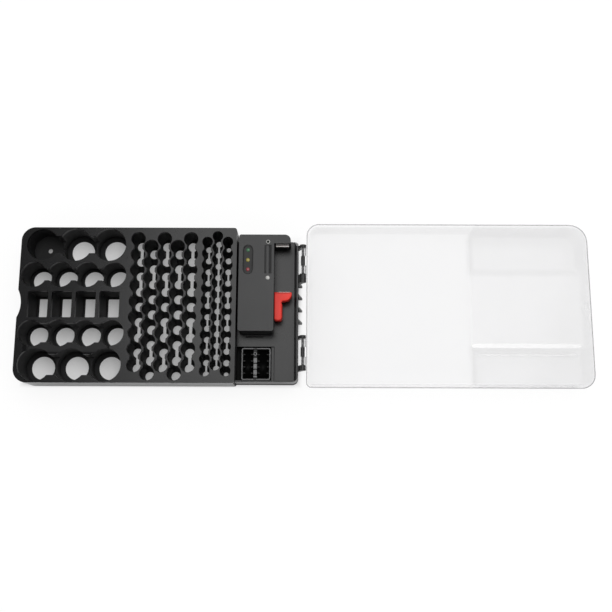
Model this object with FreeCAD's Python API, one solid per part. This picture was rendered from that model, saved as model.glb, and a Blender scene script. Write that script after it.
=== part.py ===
import FreeCAD, Part
import math
import os

# Battery storage case: a black tray of cell wells on two levels, a clear lid on two
# snap hinges, a lift-out battery tester and a lift-out button-cell rack.
# All sizes in mm. Built with the tray's front left deck corner at the origin and the
# deck top at z = 0, then moved so that the open case stands centred on z = 0.

# ---- standard cells: radius or plan size, and length
D_CELL_R = 17.1
C_CELL_R = 13.1
AA_CELL_R = 7.25
AAA_CELL_R = 5.25
D_CELL_LEN = 61.5
AA_CELL_LEN = 50.5
NINE_VOLT_LONG = 26.5
BUTTON_CELL_DIA = 11.6    # the rack's slots take it on edge

# ---- clearances
WELL_GAP_LARGE = 0.15     # cell to well, D and C
WELL_GAP_SMALL = 0.25     # cell to well, AA and AAA
WEB = 0.8                 # plastic between neighbouring large wells in a row
SLIDE_GAP = 0.3           # moving piece to its guide
HINGE_GAP = 0.06          # lid clip to hinge bar, on the radius
LID_GAP = 0.6             # lid wall to deck edge
SEAT_GAP = 0.2            # lid rim above the end wall when shut
CELL_HEAD_GAP = 0.5       # lid ceiling above the cells

# ---- tray
DECK_LEN = 223.5
DECK_WIDTH = 162.0
TRAY_HEIGHT = 34.5
WELL_FLOOR = 1.5
DECK_CORNER_R = 14.0
DECK_STEP_CORNER_R = 3.0
NOTCH_WIDTH = 29.0
NOTCH_DEPTH = 3.5
NOTCH_TALL = 18.0
WELL_BOTTOM = -TRAY_HEIGHT + WELL_FLOOR

D_WELL_R = D_CELL_R + WELL_GAP_LARGE
C_WELL_R = C_CELL_R + WELL_GAP_LARGE
AA_WELL_R = AA_CELL_R + WELL_GAP_SMALL
AAA_WELL_R = AAA_CELL_R + WELL_GAP_SMALL
D_PITCH = 2 * D_WELL_R + WEB
C_PITCH = 2 * C_WELL_R + WEB
D_FIRST_X = 20.8
D_EDGE = 1.25             # plastic between a D well and the tray's outside
D_FRONT_Y = D_WELL_R + D_EDGE
D_REAR_Y = DECK_WIDTH - D_FRONT_Y
C_FIRST_X = 14.9
C_FRONT_Y = 51.0
C_REAR_Y = 111.8
D_HOLE_R = 12.2
C_HOLE_R = 10.5
DISH_R = 16.5
DISH_X = 22.4
DISH_DEPTH = 26.5
DISH_FLOOR = 1.5
DISH_UNDER_R = 9.0        # bore under the dish's floor
SCREW_HOLE_R = 2.5
NINE_FIRST_X = 10.4
NINE_PITCH = 24.4
NINE_WIDE = 20.6
NINE_LONG = NINE_VOLT_LONG + 0.9
NINE_Y = 80.5
NINE_LEDGE = 1.7
DECK_PLATE = 1.6          # deck thickness over the hollow underside
SKIRT = 1.6               # outer wall around the hollow underside
TUBE_WALL = 1.2           # wall of each well where it stands in the hollow
SMALLEST_HOLLOW = 1500.0  # volume below which a hollow is left filled
WEB_CUT_LEAD = 1.2        # the cut in a web is this much wider at the top, on each side
WEB_CUT_C = 18.0          # depth of the cuts between neighbouring wells
WEB_CUT_D = 20.0
WEB_HALF_D_FRONT = 9.6    # half width of the cut between neighbouring wells, row by row
WEB_HALF_D_REAR = 8.0
WEB_HALF_C_FRONT = 8.7
WEB_HALF_C_REAR = 5.2
TROUGH_DEEP = 6.0         # dip of the deck between the two front rows
TROUGH_X = (12.0, 93.0)
TROUGH_Y = (32.0, 42.4)
TROUGH_RUN = 3.5
DOT_R = 0.9               # two small round nubs on the deck
DOT_POS_DECK = ((41.7, 132.2), (110.2, 129.8))

AA_FIRST_X = 121.3
AA_FIRST_Y = 149.8
AA_STEP_X = 13.65
AA_PITCH = 16.44
AA_COLUMNS = 5
AA_ROWS = 9
AA_NECK = 8.4
AA_HOLE_R = 5.0
AA_SLOT = 3.4
AA_HOLE_SHIFT = -2.3      # the floor holes lie towards the latch side of their wells
AAA_FIRST_X = 193.0
AAA_FIRST_Y = 146.9
AAA_STEP_X = 10.55
AAA_PITCH = 12.23
AAA_COLUMNS = 3
AAA_ROWS = 12
AAA_NECK = 7.0
AAA_HOLE_R = 3.4
AAA_SLOT = 2.0
AAA_HOLE_SHIFT = -1.9
BLOCK_SPLIT_AA = 112.0
BLOCK_SPLIT_AAA = 185.5

# ---- lower deck at the hinge end
LOW_Z = -22.0
LOW_PLATE = 2.0
LOW_FRONT_Y = 1.75
LOW_REAR_Y = 153.0
LOW_WALL_FRONT = 1.5
LOW_WALL_END = 1.8
LOW_WALL_SKIRT = 1.6
LOW_END_X = DECK_LEN + 63.9
LOW_CORNER_R = 6.0
END_WALL_FOOT = 2.4       # how far the end wall's inner face leans in at the floor
END_WALL_RUNOUT = 9.0     # length of the end wall's sloped rear end
POCKET_END_X = DECK_LEN + 36.1
POCKET_REAR_Y = 40.1
POCKET_LEDGE = 3.0
POCKET_LEDGE_DEEP = 1.2
SLIT_X = DECK_LEN + 9.6
SLIT_LONG = 17.7
SLIT_Y = 49.9
SLIT_WIDE = 1.2
SLIT_DEEP = 1.2

# ---- hinge
HINGE_X = DECK_LEN + 68.7
HINGE_Z = -2.0
BAR_R = 1.25
KNUCKLE_R = 1.9
LUG_R = 3.3
LUG_CLEAR = 0.3           # between a lug and the edge of the lid's flange
CLIP_R = 2.9
CLIP_MOUTH = 100.0        # degrees left open in a clip's ring
REAR_LUGS = ((104.2, 113.4), (141.1, 144.3))
REAR_KNUCKLE = (122.3, 132.0)
FRONT_LUGS = ((13.0, 18.4), (46.0, 49.1))
FRONT_KNUCKLE = (27.2, 36.9)
CLIP_END_GAP = 0.4
LUG_DROP = 12.0
GUSSET_COUNT = 4
GUSSET_FIRST_Y = 66.7
GUSSET_PITCH = 13.2
GUSSET_THICK = 1.8
GUSSET_OUT = 4.1
GUSSET_TOP = -7.0
GUSSET_FOOT = -31.0

# ---- lid, described shut
RIM_Z = 2 * HINGE_Z       # the open lid's rim then lies level with the deck
LID_WALL = 1.5
FLANGE_WIDE = 2.4
FLANGE_WIDE_LATCH = 0.8
FLANGE_THICK = 1.8
LID_HINGE_INNER_X = DECK_LEN + 61.1
LID_FLANGE_HINGE_X = HINGE_X - LUG_R - LUG_CLEAR
LID_DRAFT = 1.2
LID_LOW_CEILING = WELL_BOTTOM + AA_CELL_LEN + CELL_HEAD_GAP
LID_HIGH_CEILING = LID_LOW_CEILING + 1.0
LID_POCKET_CEILING = WELL_BOTTOM + D_CELL_LEN + CELL_HEAD_GAP
LID_STEP_X = 117.4
LID_STEP_RUN = 4.0
POCKET_X_END = D_FIRST_X + 2 * D_PITCH + D_WELL_R + 0.8
POCKET_RUN_X = 8.0
POCKET_IN_Y = 34.8
POCKET_RUN_Y = 9.5
LID_R_LATCH_REAR = 14.6
LID_R_LATCH_FRONT = 10.6
LID_R_HINGE_REAR = 9.0
LID_R_HINGE_FRONT = 1.6
LATCH_LONG = 8.0          # the lid's latch tongue, along the tray's end
LATCH_BITE = 0.7          # how far the tongue reaches under the edge of the notch
LATCH_Z = (0.3, 1.7)      # the tongue above the lid's rim
LATCH_ROOM = 0.4          # free space around the tongue in its groove

# ---- tester
TESTER_X = DECK_LEN + 2.5
TESTER_WIDE = 36.3
TESTER_FRONT_Y = 53.0
TESTER_REAR_Y = 154.2
TESTER_TOP = 2.5
TESTER_WALL = 1.6
TESTER_BASE = 2.0
TESTER_CORNER_R = 2.2
ARM_END_X = DECK_LEN + 55.9
ARM_DEEP = 9.2
ARM_CORNER_R = 6.0
WINDOW_X = DECK_LEN + 11.9
WINDOW_R = 5.4
WINDOW_Y = (118.7, 136.6)
WINDOW_DEEP = 0.9
LED_R = 1.95
LED_Y = (117.2, 127.2, 137.9)
LED_HOLE_GAP = 0.15
LED_TOP = 2.2
BOARD_TOP = -3.5
BOARD_THICK = 1.6
BOARD_X = (DECK_LEN + 5.5, DECK_LEN + 35.7)
BOARD_Y = (104.0, 150.0)
RESISTOR_X = DECK_LEN + 19.5
RESISTOR_LONG = 6.3
RESISTOR_WIDE = 3.2
RESISTOR_THICK = 0.6
RAIL_THICK = 0.4
RAIL_Z = (-8.0, -6.0)
GROOVE_X = DECK_LEN + 28.8
GROOVE_WIDE = 7.6
GROOVE_Y = (112.8, 143.1)
GROOVE_DEEP = 1.1
RING_POS = (DECK_LEN + 32.5, 146.4)
DOT_POS = (DECK_LEN + 32.5, 108.2)
RIVET_R = 2.3
RIVET_HOLE_R = 1.0
RIVET_PROUD = 0.5
RIVET_SHANK_R = 1.3
PLATE_X = (DECK_LEN + 40.3, DECK_LEN + 54.1)
PLATE_Z = (-12.0, -1.8)
PLATE_THICK = 0.5
SCREW_POS = ((DECK_LEN + 7.5, 60.0), (DECK_LEN + 7.5, 98.0), (DECK_LEN + 7.5, 149.0))
SCREW_R = 1.3
SCREW_HEAD_R = 2.6
SCREW_HEAD_TALL = 1.2
BOSS_R = 3.0
SCREW_LEN = 12.0

# ---- slider of the tester, drawn where it holds a two-inch cell
SLIDER_X = TESTER_X + TESTER_WIDE + SLIDE_GAP
SLIDER_STEM = 8.1
SLIDER_ARM_X = DECK_LEN + 57.1
SLIDER_FRONT_Y = 65.0
SLIDER_REAR_Y = 94.5
SLIDER_ARM = 8.9
SLIDER_ARM_ROUND = 4.5
SLIDER_FILLET = 2.2       # hollow corner between arm and stem
SLIDER_TOP = -3.2
SLIDER_LIFT = 1.0         # slider clear of the lower deck
SLIDER_TRAVEL_IN = 44.0
SLIDER_TRAVEL_OUT = 11.5
TONGUE_Y = (74.0, 86.0)
TONGUE_Z = (-14.0, -10.4)
TONGUE_REACH = 3.2
FOOT_THICK = 1.6
FOOT_OVER = 1.6
RIB_COUNT = 7
RIB_PITCH = 2.1
RIB_R = 0.55
STRIP_X = (DECK_LEN + 43, DECK_LEN + 55.5)
STRIP_Z = (-13.5, -5.0)
STRIP_THICK = 0.5

# ---- button-cell rack
RACK_X = (DECK_LEN + 5.2, DECK_LEN + 35.5)
RACK_Y = (5.5, 39.1)
RACK_RIM_Z = -21.6
RACK_FLOOR = 1.0
RACK_RIM = 1.2
RACK_SPINE = 3.9
RACK_CORNER_R = 1.6
RACK_PITCH = 6.4
RACK_TOOTH = 1.1
RACK_TOOTH_OUT = 2.4
RACK_LOOP_Y = 32.6
RACK_LOOP_R = 1.9
RACK_LOOP_HOLE_R = 1.0

V = FreeCAD.Vector


def box(x0, x1, y0, y1, z0, z1):
    return Part.makeBox(x1 - x0, y1 - y0, z1 - z0, V(x0, y0, z0))


def rod(x, y, z0, z1, r):
    return Part.makeCylinder(r, z1 - z0, V(x, y, z0))


def rod_y(x, z, y0, y1, r):
    return Part.makeCylinder(r, y1 - y0, V(x, y0, z), V(0, 1, 0))


def fuse(shapes):
    out = shapes[0]
    if len(shapes) > 1:
        out = out.multiFuse(shapes[1:])
    return out.removeSplitter()


def corner_wire(x0, x1, y0, y1, z, radii):
    """Closed rectangle; radii in the order front left, front right, rear right, rear left."""
    fl, fr, rr, rl = radii
    edges = []

    def line(a, b):
        if a.distanceToPoint(b) > 1e-6:
            edges.append(Part.makeLine(a, b))

    def arc(cx, cy, r, start):
        if r > 1e-6:
            a = math.radians(start)
            m = math.radians(start + 45)
            b = math.radians(start + 90)
            edges.append(Part.Arc(
                V(cx + r * math.cos(a), cy + r * math.sin(a), z),
                V(cx + r * math.cos(m), cy + r * math.sin(m), z),
                V(cx + r * math.cos(b), cy + r * math.sin(b), z)).toShape())

    line(V(x0 + fl, y0, z), V(x1 - fr, y0, z))
    arc(x1 - fr, y0 + fr, fr, 270)
    line(V(x1, y0 + fr, z), V(x1, y1 - rr, z))
    arc(x1 - rr, y1 - rr, rr, 0)
    line(V(x1 - rr, y1, z), V(x0 + rl, y1, z))
    arc(x0 + rl, y1 - rl, rl, 90)
    line(V(x0, y1 - rl, z), V(x0, y0 + fl, z))
    arc(x0 + fl, y0 + fl, fl, 180)
    return Part.Wire(edges)


def rounded_box(x0, x1, y0, y1, z0, z1, radii):
    face = Part.Face(corner_wire(x0, x1, y0, y1, z0, radii))
    return face.extrude(V(0, 0, z1 - z0))


def frustum(low, high, z0, z1, radii_low, radii_high):
    """Tapered block between two rectangles (x0, x1, y0, y1)."""
    a = corner_wire(*low, z0, radii_low)
    b = corner_wire(*high, z1, radii_high)
    return Part.makeLoft([a, b], True, True)


def prism_y(points, y0, y1):
    wire = Part.makePolygon([V(x, y0, z) for x, z in points + points[:1]])
    return Part.Face(wire).extrude(V(0, y1 - y0, 0))


def prism_x(points, x0, x1):
    wire = Part.makePolygon([V(x0, y, z) for y, z in points + points[:1]])
    return Part.Face(wire).extrude(V(x1 - x0, 0, 0))


def prism_z(points, z0, z1):
    wire = Part.makePolygon([V(x, y, z0) for x, y in points + points[:1]])
    return Part.Face(wire).extrude(V(0, 0, z1 - z0))


# ---- tray: the upper deck in three blocks

deck_radii = (DECK_CORNER_R, DECK_STEP_CORNER_R, DECK_STEP_CORNER_R, DECK_CORNER_R)
deck = rounded_box(0, DECK_LEN, 0, DECK_WIDTH, -TRAY_HEIGHT, 0, deck_radii)
notch_r = ((NOTCH_WIDTH / 2) ** 2 + NOTCH_DEPTH ** 2) / (2 * NOTCH_DEPTH)
notch = rod(NOTCH_DEPTH - notch_r, DECK_WIDTH / 2, -NOTCH_TALL, 1, notch_r)

d_front = [(D_FIRST_X + i * D_PITCH, D_FRONT_Y) for i in range(3)]
d_rear = [(D_FIRST_X + i * D_PITCH, D_REAR_Y) for i in (1, 2)]
c_front = [(C_FIRST_X + i * C_PITCH, C_FRONT_Y) for i in range(4)]
c_rear = [(C_FIRST_X + i * C_PITCH, C_REAR_Y) for i in range(4)]


def web_cut(x0, x1, y, half, deep):
    top = half + WEB_CUT_LEAD
    return prism_x([(y - top, 1), (y - top, 0), (y - half, -deep / 2), (y - half, -deep), (y + half, -deep),
                    (y + half, -deep / 2), (y + top, 0), (y + top, 1)], x0, x1)


large_cuts = []
for x, y in d_front + d_rear:
    large_cuts.append(rod(x, y, WELL_BOTTOM, 1, D_WELL_R))
    large_cuts.append(rod(x, y, -TRAY_HEIGHT - 1, 0, D_HOLE_R))
for x, y in c_front + c_rear:
    large_cuts.append(rod(x, y, WELL_BOTTOM, 1, C_WELL_R))
    large_cuts.append(rod(x, y, -TRAY_HEIGHT - 1, 0, C_HOLE_R))
web_floors = []           # plastic kept under the cuts, where the underside is hollow
for row, half, deep in ((d_front, WEB_HALF_D_FRONT, WEB_CUT_D), (d_rear, WEB_HALF_D_REAR, WEB_CUT_D),
                        ([(DISH_X, D_REAR_Y)] + d_rear[:1], WEB_HALF_D_REAR, WEB_CUT_D),
                        (c_front, WEB_HALF_C_FRONT, WEB_CUT_C), (c_rear, WEB_HALF_C_REAR, WEB_CUT_C)):
    for (xa, y), (xb, _) in zip(row, row[1:]):
        large_cuts.append(web_cut(xa + 6, xb - 6, y, half, deep))
        reach = half + WEB_CUT_LEAD + TUBE_WALL
        web_floors.append(box(xa + 6, xb - 6, y - reach, y + reach, -deep - DECK_PLATE, 0))
trough_low = (*TROUGH_X, *TROUGH_Y)
trough_top = (TROUGH_X[0] - TROUGH_RUN, TROUGH_X[1] + TROUGH_RUN, TROUGH_Y[0] - TROUGH_RUN, TROUGH_Y[1] + 0.4)
large_cuts.append(frustum(trough_low, trough_top, -TROUGH_DEEP, 0.01, (2, 2, 2, 2), (2, 2, 2, 2)))
web_floors.append(box(trough_top[0], trough_top[1], trough_top[2] - TUBE_WALL, trough_top[3] + TUBE_WALL,
                      -TROUGH_DEEP - DECK_PLATE, 0))
latch_y = (DECK_WIDTH / 2 - LATCH_LONG / 2, DECK_WIDTH / 2 + LATCH_LONG / 2)
latch_z = (RIM_Z + LATCH_Z[0], RIM_Z + LATCH_Z[1])
latch_x = NOTCH_DEPTH + LATCH_BITE
large_cuts.append(box(0, latch_x + LATCH_ROOM, latch_y[0] - LATCH_ROOM, latch_y[1] + LATCH_ROOM,
                      latch_z[0] - LATCH_ROOM, latch_z[1] + LATCH_ROOM))
nine_wells = []
for i in range(4):
    x = NINE_FIRST_X + i * NINE_PITCH
    y0 = NINE_Y - NINE_LONG / 2
    y1 = NINE_Y + NINE_LONG / 2
    nine_wells.append((x, x + NINE_WIDE, y0, y1))
    large_cuts.append(rounded_box(*nine_wells[-1], WELL_BOTTOM, 1, (1, 1, 1, 1)))
    large_cuts.append(rounded_box(
        x + NINE_LEDGE, x + NINE_WIDE - NINE_LEDGE, y0 + NINE_LEDGE, y1 - NINE_LEDGE,
        -TRAY_HEIGHT - 1, 0, (1, 1, 1, 1)))
large_cuts.append(rod(DISH_X, D_REAR_Y, -DISH_DEPTH, 1, DISH_R))
large_cuts.append(rod(DISH_X, D_REAR_Y, -TRAY_HEIGHT - 1, 0, SCREW_HOLE_R))
large_cuts.append(rod(DISH_X, D_REAR_Y, -TRAY_HEIGHT - 1, -DISH_DEPTH - DISH_FLOOR, DISH_UNDER_R))


def channel(x, ys, well_r, neck, z0, z1):
    """A column of round wells joined by necks."""
    parts = [rod(x, y, z0, z1, well_r) for y in ys]
    parts.append(box(x - neck / 2, x + neck / 2, ys[-1], ys[0], z0, z1))
    return fuse(parts)


def floor_holes(x, ys, hole_r, slot, joined, z0, z1):
    """Round floor holes; each pair of row numbers in joined is linked by a slot."""
    cuts = [rod(x, y, z0, z1, hole_r) for y in ys]
    for a, b in joined:
        cuts.append(box(x - slot / 2, x + slot / 2, ys[b], ys[a], z0, z1))
    return cuts


aa_columns = []
for c in range(AA_COLUMNS):
    first = AA_FIRST_Y - (AA_PITCH / 2 if c % 2 else 0)
    aa_columns.append((AA_FIRST_X + c * AA_STEP_X, [first - r * AA_PITCH for r in range(AA_ROWS)]))
aaa_columns = []
for c in range(AAA_COLUMNS):
    first = AAA_FIRST_Y + (AAA_PITCH / 2 if c % 2 else 0)
    aaa_columns.append((AAA_FIRST_X + c * AAA_STEP_X, [first - r * AAA_PITCH for r in range(AAA_ROWS)]))

AA_JOINED_ODD = [(0, 1), (2, 3), (5, 6), (7, 8)]
AA_JOINED_EVEN = [(1, 2), (6, 7)]
AAA_JOINED = [
    [(i, i + 1) for i in range(0, AAA_ROWS, 2)],
    [(i, i + 1) for i in range(AAA_ROWS - 1)],
    [(2, 3), (4, 5), (6, 7), (8, 9)],
]

# the hollow underside: everything inside the skirt that no well's tube takes up
hollow_z = (-TRAY_HEIGHT - 1, -DECK_PLATE)
hollow_radii = tuple(r - SKIRT for r in deck_radii)
hollow = rounded_box(SKIRT, DECK_LEN - SKIRT, SKIRT, DECK_WIDTH - SKIRT, *hollow_z, hollow_radii)
tubes = [rod(x, y, *hollow_z, D_WELL_R + TUBE_WALL) for x, y in d_front + d_rear]
tubes += [rod(x, y, *hollow_z, C_WELL_R + TUBE_WALL) for x, y in c_front + c_rear]
tubes.append(rod(DISH_X, D_REAR_Y, *hollow_z, DISH_R + TUBE_WALL))
tubes.append(rod(NOTCH_DEPTH - notch_r, DECK_WIDTH / 2, *hollow_z, notch_r + SKIRT))
for x0, x1, y0, y1 in nine_wells:
    tubes.append(box(x0 - TUBE_WALL, x1 + TUBE_WALL, y0 - TUBE_WALL, y1 + TUBE_WALL, *hollow_z))
for x, ys in aa_columns:
    tubes.append(channel(x, ys, AA_WELL_R + TUBE_WALL, AA_NECK + 2 * TUBE_WALL, *hollow_z))
for x, ys in aaa_columns:
    tubes.append(channel(x, ys, AAA_WELL_R + TUBE_WALL, AAA_NECK + 2 * TUBE_WALL, *hollow_z))
for x in (BLOCK_SPLIT_AA, BLOCK_SPLIT_AAA):
    tubes.append(box(x - TUBE_WALL / 2, x + TUBE_WALL / 2, -1, DECK_WIDTH + 1, *hollow_z))
hollows = [s for s in hollow.cut(tubes + web_floors).Solids if s.Volume > SMALLEST_HOLLOW]

large_block = deck.common(box(-1, BLOCK_SPLIT_AA, -1, DECK_WIDTH + 1, -TRAY_HEIGHT, 0))
large_wells = large_block.cut(large_cuts + [notch] + hollows).removeSplitter()
dots = [Part.makeSphere(DOT_R, V(x, y, -DOT_R / 2)) for x, y in DOT_POS_DECK]
large_wells = fuse([large_wells] + dots)


def well_cells(block, splits_x, y0, y1, z0=-TRAY_HEIGHT, z1=1):
    """The block's part between y0 and y1 as one solid for each stretch of splits_x, less slivers."""
    cells = [block.common(box(xa, xb, y0, y1, z0, z1)) for xa, xb in zip(splits_x, splits_x[1:])]
    return [max(cell.Solids, key=lambda s: s.Volume) for cell in cells]


def splits_between(firsts):
    """Block edges and the middles between neighbouring wells of a row."""
    middles = [(xa + xb) / 2 for xa, xb in zip(firsts, firsts[1:])]
    return [-1] + middles + [BLOCK_SPLIT_AA]


d_splits = splits_between([x for x, _ in d_front])
c_splits = splits_between([x for x, _ in c_front])
nine_splits = splits_between([x0 + NINE_WIDE / 2 for x0, _, _, _ in nine_wells])
rows_y = [
    -1,
    (D_FRONT_Y + D_WELL_R + C_FRONT_Y - C_WELL_R) / 2,
    (C_FRONT_Y + C_WELL_R + NINE_Y - NINE_LONG / 2) / 2,
    (NINE_Y + NINE_LONG / 2 + C_REAR_Y - C_WELL_R) / 2,
    (C_REAR_Y + C_WELL_R + D_REAR_Y - D_WELL_R) / 2,
    DECK_WIDTH + 1]
rear_cells = well_cells(large_wells, d_splits, rows_y[4], rows_y[5])
tray_round_dish = rear_cells[0]
tray_d_wells = well_cells(large_wells, d_splits, rows_y[0], rows_y[1]) + rear_cells[1:]
tray_c_wells = well_cells(large_wells, c_splits, rows_y[1], rows_y[2])
tray_c_wells += well_cells(large_wells, c_splits, rows_y[3], rows_y[4])
tray_nine_volt_wells = well_cells(large_wells, nine_splits, rows_y[2], rows_y[3])
floor_z = (-TRAY_HEIGHT - 1, WELL_BOTTOM + 1)
aa_cuts = []
for c, (x, ys) in enumerate(aa_columns):
    joined = AA_JOINED_EVEN if c % 2 else AA_JOINED_ODD
    aa_cuts.append(channel(x, ys, AA_WELL_R, AA_NECK, WELL_BOTTOM, 1))
    aa_cuts += floor_holes(x + AA_HOLE_SHIFT, ys, AA_HOLE_R, AA_SLOT, joined, *floor_z)
aa_block = deck.common(box(BLOCK_SPLIT_AA, BLOCK_SPLIT_AAA, -1, DECK_WIDTH + 1, -TRAY_HEIGHT, 0))
aa_block = aa_block.cut(aa_cuts + hollows)


def floor_and_walls(block, x0, x1, columns):
    """The block's floor, and its walls cut apart at the middle of each column of wells."""
    floor = block.common(box(x0, x1, -1, DECK_WIDTH + 1, -TRAY_HEIGHT, WELL_BOTTOM))
    splits = [x0] + [x for x, _ in columns] + [x1]
    return floor, well_cells(block, splits, -1, DECK_WIDTH + 1, WELL_BOTTOM)


tray_aa_floor, tray_aa_wells = floor_and_walls(aa_block, BLOCK_SPLIT_AA, BLOCK_SPLIT_AAA, aa_columns)

aaa_cuts = []
for c, (x, ys) in enumerate(aaa_columns):
    aaa_cuts.append(channel(x, ys, AAA_WELL_R, AAA_NECK, WELL_BOTTOM, 1))
    hole_x = x + AAA_HOLE_SHIFT
    if c < AAA_COLUMNS - 1:
        aaa_cuts += floor_holes(hole_x, ys, AAA_HOLE_R, AAA_SLOT, AAA_JOINED[c], *floor_z)
    else:
        aaa_cuts += floor_holes(hole_x, ys[1:-1], AAA_HOLE_R, AAA_SLOT,
                                [(a - 1, b - 1) for a, b in AAA_JOINED[c]], *floor_z)
        aaa_cuts += floor_holes(hole_x, [ys[0], ys[-1]], SCREW_HOLE_R, AAA_SLOT, [], *floor_z)
aaa_block = deck.common(box(BLOCK_SPLIT_AAA, DECK_LEN + 1, -1, DECK_WIDTH + 1, -TRAY_HEIGHT, 0))
aaa_block = aaa_block.cut(aaa_cuts + hollows)
tray_aaa_floor, tray_aaa_wells = floor_and_walls(aaa_block, BLOCK_SPLIT_AAA, DECK_LEN, aaa_columns)

# ---- tray: lower deck with its end wall

wall_top = RIM_Z - SEAT_GAP
low_radii = (0, LOW_CORNER_R, LOW_CORNER_R, 0)
low_outline = rounded_box(DECK_LEN, LOW_END_X, LOW_FRONT_Y, LOW_REAR_Y, -TRAY_HEIGHT, wall_top, low_radii)
end_inner_x = LOW_END_X - LOW_WALL_END
low_inner = prism_y([
    (DECK_LEN - 1, LOW_Z), (end_inner_x - END_WALL_FOOT, LOW_Z), (end_inner_x, wall_top + 1),
    (DECK_LEN - 1, wall_top + 1)], LOW_FRONT_Y + LOW_WALL_FRONT, LOW_REAR_Y + 1)
runout = prism_x([
    (LOW_REAR_Y - END_WALL_RUNOUT, wall_top), (LOW_REAR_Y, LOW_Z), (LOW_REAR_Y + 2, LOW_Z),
    (LOW_REAR_Y + 2, wall_top + 1), (LOW_REAR_Y - END_WALL_RUNOUT, wall_top + 1)],
    end_inner_x - END_WALL_FOOT - 1, LOW_END_X + 1)
pocket_box = (DECK_LEN, POCKET_END_X, LOW_FRONT_Y + LOW_WALL_FRONT, POCKET_REAR_Y)
pocket = box(*pocket_box, WELL_BOTTOM, LOW_Z + 1)
ledge = box(DECK_LEN, POCKET_END_X + POCKET_LEDGE, pocket_box[2], POCKET_REAR_Y,
            LOW_Z - POCKET_LEDGE_DEEP, LOW_Z + 1)
under_z = LOW_Z - LOW_PLATE
skirt = LOW_WALL_SKIRT
under_rear = box(DECK_LEN + skirt, LOW_END_X - skirt - 0.8, POCKET_REAR_Y + skirt, LOW_REAR_Y - skirt,
                 -TRAY_HEIGHT - 1, under_z)
under_end = box(POCKET_END_X + skirt, LOW_END_X - skirt - 0.8, LOW_FRONT_Y + skirt + 0.8,
                POCKET_REAR_Y + 2 * skirt, -TRAY_HEIGHT - 1, under_z)
slit = box(SLIT_X, SLIT_X + SLIT_LONG, SLIT_Y, SLIT_Y + SLIT_WIDE, LOW_Z - SLIT_DEEP, LOW_Z + 1)
tray_lower_deck = low_outline.cut([low_inner, runout, pocket, ledge, under_rear, under_end, slit])

# ---- tray: hinge lugs, bars and gussets


def lug(y0, y1):
    disc = rod_y(HINGE_X, HINGE_Z, y0, y1, LUG_R)
    arm = prism_y([
        (LOW_END_X, RIM_Z - 3 * SEAT_GAP), (LOW_END_X, RIM_Z - LUG_DROP),
        (HINGE_X + 1.0, HINGE_Z - LUG_R + 0.4), (HINGE_X - 1.2, HINGE_Z - 1.2)], y0, y1)
    return fuse([disc, arm])


def bar(lugs, knuckle):
    y0 = lugs[0][1]
    y1 = lugs[1][0]
    return fuse([rod_y(HINGE_X, HINGE_Z, y0, y1, BAR_R), rod_y(HINGE_X, HINGE_Z, *knuckle, KNUCKLE_R)])


def clips(lugs, knuckle, out_x):
    """Two open rings that snap over a bar, each with a web to the lid's flange."""
    rings = []
    for y0, y1 in ((lugs[0][1], knuckle[0]), (knuckle[1], lugs[1][0])):
        y0 += CLIP_END_GAP
        y1 -= CLIP_END_GAP
        ring = rod_y(HINGE_X, HINGE_Z, y0, y1, CLIP_R)
        web = box(HINGE_X + 1.0, out_x, y0, y1, HINGE_Z + 2.0 - FLANGE_THICK, HINGE_Z + 2.0)
        half = math.radians(CLIP_MOUTH / 2)
        far = 2 * CLIP_R
        mouth = prism_y([
            (HINGE_X, HINGE_Z),
            (HINGE_X - far * math.cos(half), HINGE_Z + far * math.sin(half)),
            (HINGE_X - far * math.cos(half), HINGE_Z - far * math.sin(half))], y0, y1)
        bore = rod_y(HINGE_X, HINGE_Z, y0 - 1, y1 + 1, BAR_R + HINGE_GAP)
        rings.append(fuse([ring.cut(mouth), web]).cut(bore))
    return rings


tray_hinge_lugs_rear = [lug(*pair) for pair in REAR_LUGS]
tray_hinge_lugs_front = [lug(*pair) for pair in FRONT_LUGS]
tray_hinge_bar_rear = bar(REAR_LUGS, REAR_KNUCKLE)
tray_hinge_bar_front = bar(FRONT_LUGS, FRONT_KNUCKLE)
gussets = []
for i in range(GUSSET_COUNT):
    y = GUSSET_FIRST_Y + i * GUSSET_PITCH
    gusset = prism_y([
        (LOW_END_X, GUSSET_TOP), (LOW_END_X, -TRAY_HEIGHT), (LOW_END_X + GUSSET_OUT, -TRAY_HEIGHT),
        (LOW_END_X + GUSSET_OUT, GUSSET_FOOT)], y - GUSSET_THICK / 2, y + GUSSET_THICK / 2)
    gussets.append(gusset.cut(tray_hinge_lugs_rear))

# ---- lid, built shut, then turned open about the hinge

lid_in = (-LID_GAP, LID_HINGE_INNER_X, -LID_GAP, DECK_WIDTH + LID_GAP)
lid_radii = (LID_R_LATCH_FRONT, LID_R_HINGE_FRONT, LID_R_HINGE_REAR, LID_R_LATCH_REAR)


def grow(rect, d):
    return (rect[0] - d, rect[1] + d, rect[2] - d, rect[3] + d)


def grow_radii(radii, d):
    return tuple(max(0.6, r + d) for r in radii)


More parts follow.
